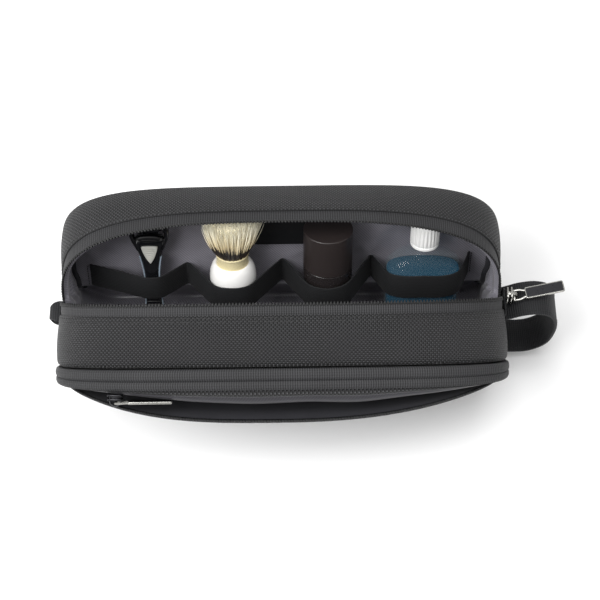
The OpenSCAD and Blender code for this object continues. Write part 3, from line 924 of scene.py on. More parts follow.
@dataclass(frozen=True)
class Half:
    """One half of the bag, which leans out from the zip ends."""

    name: str
    sign: float
    hinge_z: float = 70.0
    lean: float = math.radians(26)
    tent: float = math.radians(48)
    play: float = 7.0
    zone: float = 12.0

    def place(self, x: Array, u: Array, t: Array) -> Array:
        """Lean rigid points out with the half.

        Args:
            x: Sideways places.
            u: Depths from the zip, when closed.
            t: Heights above the zip ends, when closed.

        Returns:
            The points at rest.
        """
        x, u, t = np.broadcast_arrays(*(np.asarray(k, float) for k in (x, u, t)))
        c, s = math.cos(self.lean), math.sin(self.lean)
        return np.stack([x, self.sign * (u * c + t * s), self.hinge_z - u * s + t * c], axis=-1)

    def drape(self, x: Array, u: Array, t: Array) -> Array:
        """Lean soft points out, so that they fold where the half meets the base.

        Args:
            x: Sideways places.
            u: Depths from the zip, when closed.
            t: Heights above the zip ends, when closed.

        Returns:
            The points at rest.
        """
        x, u, t = np.broadcast_arrays(*(np.asarray(k, float) for k in (x, u, t)))
        reach, closed = np.hypot(u, t), np.arctan2(t, u)
        low, high = closed - self.lean, closed.copy()
        for _ in range(26):
            mid = (low + high) / 2
            share = smooth_step((reach * np.sin(mid + self.tent) + self.play) / self.zone)
            past = mid + self.lean * share > closed
            high = np.where(past, mid, high)
            low = np.where(past, low, mid)
        turned = np.maximum((low + high) / 2, -math.pi / 2)
        return np.stack([x, self.sign * reach * np.cos(turned), self.hinge_z + reach * np.sin(turned)],
            axis=-1)

    def bend(self, made: Object) -> Object:
        """Bake the world transform of a soft piece into its mesh.

        Args:
            made: The piece, with its mesh final.

        Returns:
            The same piece.
        """
        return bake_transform(made)

    def rigid(self, shape: Shape) -> Shape:
        """Place a rigid shape drawn as x, depth and height."""
        return Shape(self.place(*shape.points.T), shape.faces, shape.weave)


FORM = BagForm()
FRONT = Half("front", -1.0)
BACK = Half("back", 1.0)


def dent(t: Array, deep: float) -> Array:
    """Draw the slack in where the lower edge of a half folds into the base."""
    return -deep * np.exp(-(((t + 27) / 10) ** 2))


# soft creases of the inner panels: x, height, x, height, width and depth of each
CREASES = [(-112, 40, -70, 8, 5, 1.1), (-60, 48, -40, 20, 5, 0.9), (-68, 10, -52, -4, 4, 0.8),
    (-52, 6, -12, 30, 4.5, 0.8), (-14, 10, 6, 34, 6, 1.2), (4, 6, 20, 24, 4, 0.9),
    (54, 8, 70, 44, 6, 1.2), (60, 2, 46, 24, 4, 0.8), (66, 30, 108, 46, 5, 0.9),
    (100, 36, 120, 4, 5, 1.0), (-124, 22, -110, -10, 4, 1.0), (-100, 50, -58, 50, 4, 0.7),
    (-60, -18, -20, -24, 5, 0.8), (10, -20, 50, -26, 5, 0.8), (66, -18, 110, -26, 5, 0.8),
    (-108, -20, -70, -28, 5, 0.8)]


def crumple(x: Array, t: Array) -> Array:
    """Give how far the lining stands off its panel, in soft creases.

    Args:
        x: Sideways places.
        t: Heights above the hinge.

    Returns:
        Distances off the panel in mm.
    """
    made = 0.5 * ripple(x, t, 26, 3.1) + 0.16 * ripple(x, t, 9, 8.2)
    for x0, t0, x1, t1, wide, deep in CREASES:
        run = np.array([x1 - x0, t1 - t0], float)
        share = np.clip(((x - x0) * run[0] + (t - t0) * run[1]) / run.dot(run), 0, 1)
        off = np.hypot(x - x0 - share * run[0], t - t0 - share * run[1])
        fade = np.sin(np.pi * (0.12 + 0.76 * share))
        made = made + 1.5 * deep * fade * np.exp(-((off / wide) ** 2))
    beside = smooth_step((np.abs(x) - 17) / 8) + smooth_step((np.abs(t - 27.5) - 11) / 8)
    return made * np.clip(beside, 0, 1)


@dataclass
class SoftHalf:
    """Skin, zip tape, teeth, stitching and lining of one half and the base below it."""

    half: Half
    form: BagForm = FORM
    tape_w: float = 12.2
    stitch_pitch: float = 3.0
    tooth_pitch: float = 1.95
    panel_rows: int = 18
    gusset_rows: int = 16
    crown: float = 1.8
    lining_u: float = 33.4
    zip_skip: int = 5

    def edge_depth(self) -> Array:
        """Depth of the gusset's inner edge: at the tape above the zip ends, at the zip below."""
        t = self.form.ring(self.tape_w, 0)[:, 1]
        return self.tape_w * smooth_step((t + 7) / 13)

    def rows(self, profile: list) -> Array:
        """Make rows of points round the bag.

        Args:
            profile: Depth and inset of each row, one number or one a column.

        Returns:
            Rows of points at rest.
        """
        made = []
        for depth, inset in profile:
            ring = self.form.ring(depth, inset)
            u = np.broadcast_to(np.asarray(depth, float), len(ring))
            u = u + dent(ring[:, 1], 4.6) * smooth_step((u - 16) / 20)
            made.append(self.half.drape(ring[:, 0], u, ring[:, 1]))
        return np.array(made)

    def woven(self, points: Array, depths: list) -> Array:
        """Lay the weave along rows that run round the bag, even at rest.

        Args:
            points: Rows of points at rest.
            depths: Depth of each row.

        Returns:
            Places in the weave, row by row.
        """
        run = np.cumsum(np.linalg.norm(np.diff(points, axis=1), axis=2), axis=1)
        run = np.concatenate([np.zeros((len(points), 1)), run], axis=1)
        middle = points.shape[1] // 2
        run -= run[:, middle : middle + 1]
        rise = np.array([np.broadcast_to(np.asarray(d, float), points.shape[1]) for d in depths])
        return np.stack([run, rise], axis=2)

    def gusset(self) -> Object:
        """Make the woven gusset with its turned edge and rounded outer seam.

        Returns:
            The finished piece.
        """
        edge = self.edge_depth()
        fold = smooth_step(edge / 3)
        r = self.form.edge_r
        last = self.form.half_d - r
        profile = [(edge + 0.25 * fold, 1.25 * fold), (edge, 0.55 * fold), (edge + 0.4, 0.08 * fold)]
        for share in np.linspace(0, 1, self.gusset_rows):
            depth = edge + 1.0 + (last - edge - 1.0) * share
            puff = 0.5 * math.sin(math.pi * share)
            profile.append((depth, -puff * fold))
        for q in np.radians([14, 28, 38, 45]):
            dip = 0.55 if q > 0.75 else 0.0
            profile.append((last + (r - dip) * math.sin(q), r - (r - dip) * math.cos(q)))
        points = self.rows(profile)
        shape = grid(points, self.woven(points, [p[0] for p in profile]))
        made = piece(f"{self.half.name}_gusset_skin", shape, NYLON)
        nodes = [f"{self.half.name}_gusset"]
        if self.half.sign > 0:
            nodes += ["base_gusset", "base_foam"]
        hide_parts(*nodes)
        return self.half.bend(made)

    def face(self, depth: float, inset: float, rows: int, crown: float, lining: bool) -> Shape:
        """Make a panel that fills the outline, as rows closing in on its middle.

        Args:
            depth: Depth of the panel.
            inset: Inset of its outer row.
            rows: Number of rows.
            crown: How far its middle swells out.
            lining: Whether it is the crumpled lining.

        Returns:
            The panel at rest.
        """
        ring = self.form.ring(depth, inset)
        core = points_of(np.clip(ring[:, 0], -80, 80) * 0.98, np.full(len(ring), -5.0))
        points, weave = [], []
        scan = np.linspace(-80, 80, 1200)
        line = self.half.drape(0 * scan, 0 * scan + depth, scan)
        run = run_of(line)
        for share in np.linspace(1, 0, rows) ** 0.85:
            flat = core + (ring - core) * share
            u = depth + crown * (1 - share**3) + dent(flat[:, 1], 4.6)
            if lining:
                u = u - crumple(flat[:, 0], flat[:, 1]) * smooth_step((1 - share) * 6)
            else:
                u = u + 0.3 * ripple(flat[:, 0], flat[:, 1], 45, 1.7)
            points.append(self.half.drape(flat[:, 0], u, flat[:, 1]))
            weave.append(points_of(flat[:, 0], np.interp(flat[:, 1], scan, run)))
        return grid(np.array(points), np.array(weave))

    def panel(self) -> Object:
        """Make the woven panel, from its seam with the gusset inward.

        Returns:
            The finished piece.
        """
        r = self.form.edge_r
        last = self.form.half_d - r
        profile = []
        for q in np.radians([45, 52, 64, 78]):
            dip = 0.55 if q < 0.8 else 0.0
            profile.append((last + (r - dip) * math.sin(q), r - (r - dip) * math.cos(q)))
        edge = self.rows(profile)
        weave = np.stack([edge[..., 0], edge[..., 2]], axis=2)
        rim = grid(edge, weave)
        inner = self.face(self.form.half_d, r, self.panel_rows, self.crown, False)
        made = piece(f"{self.half.name}_panel_skin", rim + inner, PANEL)
        nodes = [f"{self.half.name}_panel", f"base_{self.half.name}_wall", f"{self.half.name}_foam"]
        if self.half.sign > 0:
            nodes.append("base_wall_foam")
        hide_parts(*nodes)
        return self.half.bend(made)

    def span(self, extra: int) -> slice:
        """Columns of the arch and a few below each zip end."""
        first, last = self.form.hinge
        return slice(first - extra, last + extra + 1)

    def tape(self) -> Object:
        """Make the ribbed zip tape under the gusset's edge.

        Returns:
            The finished piece.
        """
        wide = self.tape_w
        profile = [(1.5, 1.5), (1.7, 0.95)]
        for share, inset in ((0.26, 0.85), (0.45, 0.66), (0.68, 0.62), (0.87, 0.8), (1.1, 1.15)):
            profile.append((share * wide, inset))
        points = self.rows(profile)
        weave = self.woven(points, [p[0] for p in profile])
        part = self.span(self.zip_skip)
        return self.half.bend(piece(f"{self.half.name}_zip_tape_strip", grid(points[:, part], weave[:,
            part]), TAPE, stands=f"{self.half.name}_zip_tape"))

    def along(self, depth: Array | float, inset: float, extra: int) -> tuple[Array, Array]:
        """Give a path round the arch and the direction to the zip at each point.

        Args:
            depth: Depth of the path.
            inset: Its inset from the outline.
            extra: Points past each end of the zip.

        Returns:
            Points of the path, and the direction to the zip at each.
        """
        points = self.rows([(depth, inset), (np.maximum(np.asarray(depth) - 1.0, 0.0), inset)])
        part = self.span(extra)
        return points[0, part], (points[1] - points[0])[part]

    def teeth(self) -> Object:
        """Make the row of zip teeth as separate loops of coil.

        Returns:
            The finished piece.
        """
        path, inward = self.along(2.0, 0.75, 2)
        path, inward = resampled(path, self.tooth_pitch, inward)
        loop = bead(1.15, 2.5, 1.6)
        loop.points[:, 1] += 0.65
        shape = row_of(loop, path, inward)
        cord, side = self.along(1.7, 0.75, 2)
        shape = shape + sweep(cord, side, oval(0.45, 0.6, 2.0, 8))
        return self.half.bend(piece(f"{self.half.name}_zip_teeth", shape, COIL,
            stands=f"{self.half.name}_zip_coil"))

    def stitching(self) -> Object:
        """Make the two rows of stitches along the gusset's turned edge.

        Returns:
            The finished piece.
        """
        edge = self.edge_depth()
        rows = []
        for off in (1.5, 3.7):
            path, inward = self.along(edge + off, -0.02, 0)
            path, inward = resampled(path, self.stitch_pitch, inward)
            rows.append(row_of(bead(2.3, 0.95, 0.5, 6), path, inward))
        return self.half.bend(piece(f"{self.half.name}_gusset_stitches", joined(rows), THREAD))

    def lining(self) -> Object:
        """Make the satin lining of the gusset and base end, gathered into soft pleats.

        Returns:
            The finished piece.
        """
        ring = self.form.ring(20, 0)
        deep = 2.7 + 2.1 * smooth_step(-ring[:, 1] / 9)
        edge = 2.6 * smooth_step((ring[:, 1] + 7) / 13)
        ends = smooth_step((np.abs(ring[:, 0]) - 96) / 22) * smooth_step((ring[:, 1] + 60) / 30)
        profile = [(edge, 1.5 + 0 * edge), (edge + 0.8, deep - 0.8)]
        for share in np.linspace(0, 1, 22):
            depth = edge + 2.0 + (self.lining_u - 5.2 - edge) * share
            fold = 1.7 * math.sin(math.tau * share * 3.2) * math.sin(math.pi * share)
            loose = 0.35 * ripple(ring[:, 0], ring[:, 1] + 40 * share, 17, 5.5)
            profile.append((depth, deep + (fold + 1.3) * ends + loose * math.sin(math.pi * share)))
        for q in np.radians([25, 50, 75]):
            profile.append((self.lining_u - 3 + 3 * math.sin(q), deep + 3 - 3 * math.cos(q)))
        points = self.rows(profile)
        shape = grid(points, self.woven(points, [p[0] for p in profile]))
        made = piece(f"{self.half.name}_gusset_lining_skin", shape, SATIN)
        nodes = [f"{self.half.name}_gusset_lining"]
        if self.half.sign > 0:
            nodes.append("base_lining")
        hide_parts(*nodes)
        return self.half.bend(made)

    def back_lining(self) -> Object:
        """Make the satin lining of the panel, creased where it hangs loose.

        Returns:
            The finished piece.
        """
        shape = self.face(self.lining_u, 5.6, 34, -0.4, True)
        return self.half.bend(piece(f"{self.half.name}_panel_lining_skin", shape, SATIN,
            stands=f"{self.half.name}_lining"))

    def binding(self) -> Object:
        """Make the bound seam that stands up between the two linings.

        Returns:
            The finished piece.
        """
        ring = self.form.ring(31.5, 0)
        deep = 4.9 + 1.9 * smooth_step(-ring[:, 1] / 9)
        wave = 0.4 * ripple(ring[:, 0], ring[:, 1], 12, 2.4)
        depth = 31.6 + wave + 2.9 * smooth_step((ring[:, 1] - 36) / 12)
        path = self.rows([(depth, deep), (depth, deep + 1)])
        inward = path[1] - path[0]
        part = self.span(self.form.side_n + 2)
        shape = sweep(path[0, part], inward[part], oval(2.3, 0.85, 2.6, 12))
        return self.half.bend(piece(f"{self.half.name}_bound_seam", shape, BINDING,
            stands=f"{self.half.name}_seam_binding"))

    def build(self) -> list[Object]:
        """Make every soft piece of the half."""
        return [self.gusset(), self.panel(), self.tape(), self.teeth(), self.stitching(),
            self.lining(), self.back_lining(), self.binding()]


# ---- outer pocket


@dataclass
class Pocket:
    """Outer pocket on the front half: band, facing, bowed front and their zip."""

    half: Half = FRONT
    a: float = 135.6
    high: float = 61.4
    square: float = 4.6
    foot_t: float = -14.0
    foot_u: float = 42.0
    slant: float = math.radians(6.55)
    front_d: float = 38.0
    flap_a: float = 128.9
    flap_top: float = 66.3
    bow: float = 20.5
    slider_x: float = -97.0
    bar_z: float = 70.33
    columns: int = 150

    def arch(self, inset: float, below: bool = True) -> Array:
        """Give the outline of the pocket from its right foot to its left foot.

        Args:
            inset: Inset from the outline.
            below: Whether the ends run down past the foot.

        Returns:
            Points of the outline.
        """
        a, high = self.a - inset, self.high - inset
        q = np.linspace(0, math.pi, 4000)
        x = a * np.sign(np.cos(q)) * np.abs(np.cos(q)) ** (2 / self.square)
        t = high * np.abs(np.sin(q)) ** (2 / self.square)
        line = points_of(x, t)
        if below:
            line = np.vstack([[a, self.foot_t], line, [-a, self.foot_t]])
        return spaced(line, self.columns)

    def front_depth(self, t: Array) -> Array:
        """Depth of the leaning pocket front at a height."""
        return self.foot_u + math.tan(self.slant) * (t - self.foot_t)

    def leaning(self, x: Array, out: Array, up: Array) -> Array:
        """Place points given square to the leaning front and along it."""
        c, s = math.cos(self.slant), math.sin(self.slant)
        return self.half.place(x, self.foot_u + out * c + up * s, self.foot_t - out * s + up * c)

    def flatten(self, made: Object) -> Object:
        """Give a piece its own copy of its mesh.

        Args:
            made: The piece.

        Returns:
            The same piece.
        """
        anchor = self.leaning(np.zeros(1), np.zeros(1), np.zeros(1))[0] * MM
        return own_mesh(made)

    def band(self) -> Object:
        """Make the ribbed band, crowned, with the seam of its tape sunk along it.

        Returns:
            The finished piece.
        """
        steps = [(0.1, 9.0), (0.08, 5.0), (0.02, 2.0), (0.0, 0.9), (0.03, 0.1), (0.07, -0.35),
            (0.16, -0.65), (0.3, -0.8), (0.44, -0.7), (0.52, -0.35), (0.56, 0.25), (0.6, -0.3),
            (0.7, -0.6), (0.84, -0.55), (0.95, -0.15), (1.0, 0.55), (1.0, 1.5), (0.99, 3.0),
            (0.985, 5.2)]
        rows, rise, weave_rows = [], 0.0, []
        middle = self.arch(0)
        for share, inset in steps:
            line = self.arch(inset)
            u = self.front_d + (self.front_depth(line[:, 1]) - self.front_d) * share
            rows.append(self.half.drape(line[:, 0], u, line[:, 1]))
            if len(rows) > 1:
                rise += float(np.linalg.norm(rows[-1] - rows[-2], axis=1).mean())
            weave_rows.append(rise)
        run = run_of(middle)
        weave = np.stack(np.meshgrid(run, weave_rows), axis=2)
        return self.half.bend(piece("pocket_band_tape", grid(np.array(rows), weave), TAPE,
            stands="pocket_band"))

    def band_teeth(self) -> Object:
        """Make the coil along the band's lip.

        Returns:
            The finished piece.
        """
        outer, inner = self.arch(5.0), self.arch(6.0)
        path = self.half.drape(outer[:, 0], self.front_depth(outer[:, 1]) - 0.3, outer[:, 1])
        toward = self.half.drape(inner[:, 0], self.front_depth(inner[:, 1]) - 0.3, inner[:, 1])
        spots, inward = resampled(path, 1.75, toward - path)
        loop = bead(1.15, 2.0, 1.3)
        loop.points[:, 1] += 0.7
        return self.half.bend(piece("pocket_band_teeth", row_of(loop, spots, inward), COIL,
            stands="pocket_band_coil"))

    def facing(self) -> list[Object]:
        """Make the facing that rolls out of the open pocket: woven, then satin.

        Returns:
            The finished pieces.
        """
        profile = np.array([(-1.5, -2.0), (0.2, -1.2), (1.6, -1.0), (3.0, -1.6), (3.6, -2.8),
            (4.2, -3.6), (5.4, -4.0), (6.8, -4.8), (7.8, -6.2), (8.0, -8.2), (7.0, -10.6),
            (4.5, -13.5), (0.0, -17.0), (-6.0, -21.0)])
        line = curve_through(profile, 4)
        x = np.linspace(-122, 124, 130)
        at = self.arch(0, False)
        t = np.interp(x, at[::-1, 0], at[::-1, 1])
        left = np.clip((x + 122) / 100, 0, 1)
        right = np.clip((124 - x) / 96, 0, 1)
        swell = smooth_step(left) ** 0.8 * smooth_step(right) ** 0.7
        swell = swell * (1 + 0.06 * ripple(x, 0 * x, 30, 9.1))
        rows = []
        for du, dt in line:
            u = self.front_depth(t) + np.where(du > 0, du * swell, du)
            rows.append(self.half.place(x, u, t + dt * (0.5 + 0.5 * swell)))
        points = np.array(rows)
        made = []
        for name, part, finish, slot in (("pocket_facing_woven", slice(0, 18), NYLON, "woven_fabric"),
                ("pocket_facing_satin", slice(17, None), FACING, "lining")):
            one = piece(name, grid(points[part]), finish, "front_half")
            made.append(self.flatten(one))
        return made

    def bowed(self, x: Array, up: Array) -> Array:
        """How far the open front stands out at a place on it.

        Args:
            x: Sideways places.
            up: Distances up along the front.

        Returns:
            Distances out from the foot line.
        """
        power = np.where(x < 0, 3.0, 2.3)
        share = 1 - np.abs(x / (self.flap_a + 1)) ** power
        return self.bow * np.clip(share, 0, 1) * (up / self.flap_top) + 1.2 * np.sin(
            np.pi * np.clip(up / self.flap_top, 0, 1))

    def flap_rim(self) -> Array:
        """Give the edge of the pocket front from its right to its left foot.

        Returns:
            Points of the edge.
        """
        turn = np.linspace(0, math.pi, 4000)
        c, s = np.cos(turn), np.abs(np.sin(turn))
        base = 14.1
        x = self.flap_a * np.sign(c) * np.abs(c) ** (2 / self.square)
        up = base + (self.flap_top - base) * s ** (2 / self.square)
        line = np.vstack([[self.flap_a, 0.8], points_of(x, up), [-self.flap_a, 0.8]])
        return spaced(line, self.columns)

    def flap_sheet(self, off: float, shrink: float, rows: int) -> Shape:
        """Make one face of the pocket front.

        Args:
            off: How far it stands off the front's middle.
            shrink: Inset of its edge.
            rows: Number of rows to its foot.

        Returns:
            The sheet at rest.
        """
        rim = self.flap_rim()
        core = points_of(np.clip(rim[:, 0], -100, 100), np.full(len(rim), 0.8))
        toward = core - rim
        toward /= np.maximum(np.linalg.norm(toward, axis=1), 1e-6)[:, None]
        rim = rim + toward * shrink
        points, weave = [], []
        for share in np.linspace(1, 0, rows):
            flat = core + (rim - core) * share
            out = self.bowed(flat[:, 0], flat[:, 1]) + off
            out = out + 0.35 * ripple(flat[:, 0], flat[:, 1], 22, 4.4) * (1 - share)
            points.append(self.leaning(flat[:, 0], out, flat[:, 1]))
            weave.append(flat)
        return grid(np.array(points), np.array(weave))

    def flap(self) -> list[Object]:
        """Make the bowed front of the pocket with its lining, rim and teeth.

        Returns:
            The finished pieces.
        """
        outer = piece("pocket_front_skin", self.flap_sheet(0.5, 0.3, 26), PANEL,
            "front_half", stands="pocket_flap")
        inner = piece("pocket_front_lining_skin", self.flap_sheet(-1.0, 0.6, 26), TAFFETA,
            "front_half", stands="pocket_flap_lining")
        rim = self.flap_rim()
        out = self.bowed(rim[:, 0], rim[:, 1])
        path = self.leaning(rim[:, 0], out, rim[:, 1])
        away = self.leaning(rim[:, 0], out + 1, rim[:, 1]) - path
        edge = piece("pocket_front_rim", sweep(path, away, oval(0.95, 1.1, 2.4, 12)), TAPE,
            "front_half")
        spots, outward = resampled(path, 1.75, away)
        loop = bead(1.15, 1.5, 2.1)
        loop.points[:, 2] += 1.0
        loop.points[:, 1] -= 0.5
        teeth = piece("pocket_front_teeth", row_of(loop, spots, outward), COIL,
            "front_half", stands="pocket_flap_coil")
        return [self.flatten(p) for p in (outer, inner, edge, teeth)]

    def cavity(self) -> Object:
        """Make the dark lining of the pocket over the panel behind it.

        Returns:
            The finished piece.
        """
        x = np.linspace(-128, 128, 60)
        at = self.arch(4, False)
        top = np.interp(x, at[::-1, 0], at[::-1, 1])
        rows = []
        for share in np.linspace(0, 1, 24):
            t = top + (self.foot_t + 1 - top) * share
            u = 40.6 + 0.6 * ripple(x, t, 20, 6.6)
            rows.append(self.half.place(x, u, t))
        return piece("pocket_back_lining", grid(np.array(rows)), TAFFETA, "front_half")

    def foot(self) -> Object:
        """Make the sewn seam along the pocket's foot.

        Returns:
            The finished piece.
        """
        x = np.linspace(-127, 127, 120)
        path = self.leaning(x, 0 * x + 0.2, 0 * x - 0.4)
        out = self.leaning(x, 0 * x + 1.2, 0 * x - 0.4) - path
        return piece("pocket_foot_seam", sweep(path, out, oval(1.3, 1.7, 2.4, 12)), BINDING,
            "front_half", stands="pocket_foot_strip")

    def build(self) -> list[Object]:
        """Make every soft piece of the pocket."""
        return [self.band(), self.band_teeth(), *self.facing(), *self.flap(), self.cavity(),
            self.foot()]


# ---- metal of the zips


@dataclass
class Puller:
    """Crossbar, two wires and a plate, lying along the first axis."""

    length: float
    width: float
    bar_d: float = 1.8
    wire: float = 1.3
    plate_t: float = 1.5
    eye: float = 0.22

    def metal(self, skew: float = 0.0) -> Shape:
        """Make the bright frame of the puller.

        Args:
            skew: Turn of the plate in degrees.

        Returns:
            The frame.
        """
        bar = bead(self.width, self.bar_d, self.bar_d, 16)
        bar.points = bar.points[:, [1, 0, 2]]
        eye = self.length * self.eye
        turn = np.radians(skew)
        c, s = math.cos(turn), math.sin(turn)
        gap = self.width / 2 - self.wire / 2
        path = np.array([(0, -gap, 0), (eye * 0.5, -gap, 0), (eye * 0.85, -gap * 0.75, 0),
            (eye + 1.5, -gap * 0.55, 0)])
        wires = []
        for sign in (1, -1):
            line = curve_through(path * [1, sign, 1], 6)
            wires.append(sweep(line, np.tile([0, 0, 1.0], (len(line), 1)), oval(0.65, 0.65, 2, 10)))
        blade = self.length - eye
        body = plate([rounded(blade, self.width, 1.2) + [eye + blade / 2, 0]], self.plate_t, 0.35)
        made = joined([*wires, body])
        made = made.moved([[c, s, 0], [-s, c, 0], [0, 0, 1]], [0, 0, 0])
        return made + bar

    def inlay(self, skew: float = 0.0) -> Shape:
        """Make the dark field sunk in each face of the plate.

        Args:
            skew: Turn of the plate in degrees.

        Returns:
            The two fields.
        """
        eye = self.length * self.eye
        blade = self.length - eye
        turn = np.radians(skew)
        c, s = math.cos(turn), math.sin(turn)
        fields = plate([rounded(blade - 1.3, self.width - 1.3, 0.8) + [eye + blade / 2, 0]],
            self.plate_t + 0.14, 0.1)
        return fields.moved([[c, s, 0], [-s, c, 0], [0, 0, 1]], [0, 0, 0])


@dataclass
class Slider:
    """Body and bridge of a zip slider, its back on the plane of the third axis."""

    long: float
    wide: float
    thick: float = 3.6
    bar_z: float = 5.2

    def shape(self) -> Shape:
        """Make the slider's waisted body and its arched bridge.

        Returns:
            The finished shape.
        """
        nose = self.long / 2
        half = self.wide / 2
        outline = curve_through(np.array([(nose, half * 0.35), (nose * 0.7, half * 0.95),
            (0, half * 0.92), (-nose * 0.6, half * 0.72), (-nose, half * 0.7), (-nose, -half * 0.7),
            (-nose * 0.6, -half * 0.72), (0, -half * 0.92), (nose * 0.7, -half * 0.95),
            (nose, -half * 0.35)]), 4)
        low = plate([outline], 1.1, 0.35).moved(np.eye(3), [0, 0, 0.6])
        top = plate([outline], 1.1, 0.35).moved(np.eye(3), [0, 0, self.thick - 0.6])
        core = plate([outline * [0.8, 0.35]], self.thick - 0.4, 0.3).moved(np.eye(3),
            [0, 0, self.thick / 2])
        arch = curve_through(np.array([(-nose * 0.75, 0, self.thick - 0.6),
            (-nose * 0.6, 0, self.bar_z + 0.5), (0, 0, self.bar_z + 1.9),
            (nose * 0.6, 0, self.bar_z + 0.5), (nose * 0.75, 0, self.thick - 0.6)]), 8)
        bridge = sweep(arch, sideways(arch), oval(0.95, 0.5, 2.6, 12))
        return joined([low, top, core, bridge])


@dataclass
class ZipMetal:
    """Sliders and pullers of both zips."""

    pocket: Pocket
    main_x: float = 138.6
    main_z: float = 69.6
    main_tilt: float = 8.0
    main_skew: float = 8.0

    def main(self) -> list[Object]:
        """Make the main slider and its puller at the end by the carry loop.

        Returns:
            The finished pieces.
        """
        turn = [[0, 0, -1], [0, 1, 0], [1, 0, 0]]
        slider = Slider(11, 9)
        body = piece("main_zip_slider", slider.shape().moved(turn, [self.main_x, 0, self.main_z]),
            NICKEL, "base", 35, True, stands="main_slider")
        tilt = math.radians(self.main_tilt)
        c, s = math.cos(tilt), math.sin(tilt)
        lean = [[c, 0, s], [0, 1, 0], [-s, 0, c]]
        at = [self.main_x + slider.bar_z, 0, self.main_z]
        puller = Puller(31, 7.6)
        bright = piece("main_puller_frame", puller.metal(self.main_skew).moved(lean, at), NICKEL,
            "main_puller", 35, True, stands="main_puller")
        dark = piece("main_puller_inlay", puller.inlay(self.main_skew).moved(lean, at), GUNMETAL,
            "main_puller", 35, True)
        return [body, bright, dark]

    def outer(self) -> list[Object]:
        """Make the pocket slider and its puller, parked at the left of the band.

        Returns:
            The finished pieces.
        """
        slider, puller = Slider(9, 7), Puller(33, 6)
        parts = [("pocket_zip_slider", slider.shape(), GUNMETAL, "gunmetal", "pocket_slider", True),
            ("pocket_puller_frame", puller.metal(), NICKEL, "nickel", "pocket_puller", True),
            ("pocket_puller_inlay", puller.inlay(), GUNMETAL, "gunmetal", "pocket_puller", False)]
        made = []
        for name, shape, finish, slot, body, stands in parts:
            lift = 0 if body == "pocket_slider" else slider.bar_z
            x, up, out = shape.points.T
            points = self.pocket.leaning(self.pocket.slider_x + x, 2.0 + out + lift,
                self.pocket.bar_z + up)
            made.append(piece(name, Shape(points, shape.faces, shape.weave), finish, body, 35,
                True, stands=body if stands else None))
        return made


# ---- ends of the bag


@dataclass
class Ends:
    """Carry loop, its patch, and the grab tab at the other end."""

    loop_y: float = -2.0
    loop_w: float = 22.6
    loop_t: float = 2.0
    knots: tuple = ((133.0, -1.0, 57.5), (139.5, -1.0, 60.5), (148.0, -0.4, 64.6), (157.0, 0.0, 66.0),
        (165.5, 0.0, 62.8), (171.2, -0.4, 53.0), (172.6, -1.0, 38.0), (169.8, -1.8, 22.0),
        (160.5, -2.2, 12.0), (148.0, -2.2, 10.2), (133.0, -2.0, 11.0))

    def loop(self) -> Object:
        """Make the folded webbing loop, slack and a little bowed.

        Returns:
            The finished piece.
        """
        (path,) = resampled(self.route(0.0, 0.0), 1.4)
        shape = sweep(path, sideways(path), rounded(self.loop_w, self.loop_t, 0.8, 4))
        return piece("carry_loop_webbing", shape, WEBBING, "base", stands="carry_loop")

    def route(self, side: float, lift: float) -> Array:
        """Give the loop's path from the zip end round to the foot.

        Args:
            side: Shift across the webbing.
            lift: Shift outward from its middle.

        Returns:
            Points of the path.
        """
        line = curve_through(np.array(self.knots), 10)
        ahead = np.gradient(line, axis=0)
        ahead /= np.linalg.norm(ahead, axis=1)[:, None]
        out = points_of(-ahead[:, 2], 0 * ahead[:, 1], ahead[:, 0])
        return line + out * lift + [0, side, 0]

    def hems(self) -> Object:
        """Make the stitches along both edges of the loop.

        Returns:
            The finished piece.
        """
        rows = []
        for sign in (1, -1):
            for lift in (self.loop_t / 2 + 0.05, -self.loop_t / 2 - 0.05):
                path = self.route(sign * (self.loop_w / 2 - 2.2), lift)[8:-8]
                (path,) = resampled(path, 3.0)
                side = sideways(path)
                rows.append(row_of(bead(2.1, 0.5, 0.4, 6), path, side))
        return piece("carry_loop_stitches", joined(rows), THREAD, "base")

    def patch(self) -> Object:
        """Make the stitched patch that closes the zip end below the slider.

        Returns:
            The finished piece.
        """
        outline = rounded(18, 24, 3.5, 7)
        shape = plate([outline], 1.2, 0.4)
        y, z, x = shape.points.T
        shape = Shape(points_of(138.0 + x, self.loop_y + y, 57 + z), shape.faces, points_of(y, z))
        return piece("loop_end_patch", shape, WEBBING, "base", 40, True, stands="loop_patch")

    def taper(self, points: Array) -> Array:
        """Narrow the grab tab toward its fold and give its sideways places."""
        out = np.clip((-points[:, 0] - 136.5) / 6.5, 0, 1)
        return (points[:, 1] + 6.0) * (1 - 0.42 * out**2) - 6.0

    def tab(self) -> Object:
        """Make the grab tab, a strip folded over and sewn at the other zip end.

        Returns:
            The finished piece.
        """
        line = curve_through(np.array([(-134.5, 0, 62.9), (-138.0, 0, 62.5), (-141.3, 0, 63.0),
            (-142.6, 0, 65.5), (-141.3, 0, 68.0), (-138.0, 0, 68.5), (-134.5, 0, 68.2)]), 6)
        line[:, 1] = -6.0
        shape = sweep(line, sideways(line), rounded(13.6, 1.5, 0.6, 4))
        shape.points[:, 1] = self.taper(shape.points)
        core = loft([(-140.5, 2.3, 6.0, 2.6), (-135.0, 2.3, 6.0, 2.6)], 32)
        z, y, x = core.points.T
        core = Shape(points_of(x, y - 6.0, 65.5 + z), core.faces, core.weave)
        core.points[:, 1] = self.taper(core.points)
        return piece("zip_end_grab_tab", shape + core, WEBBING, "base", 45, True,
            stands="zip_end_tab")

    def build(self) -> list[Object]:
        """Make the pieces at both ends."""
        return [self.loop(), self.hems(), self.patch(), self.tab()]


# ---- contents of the back half


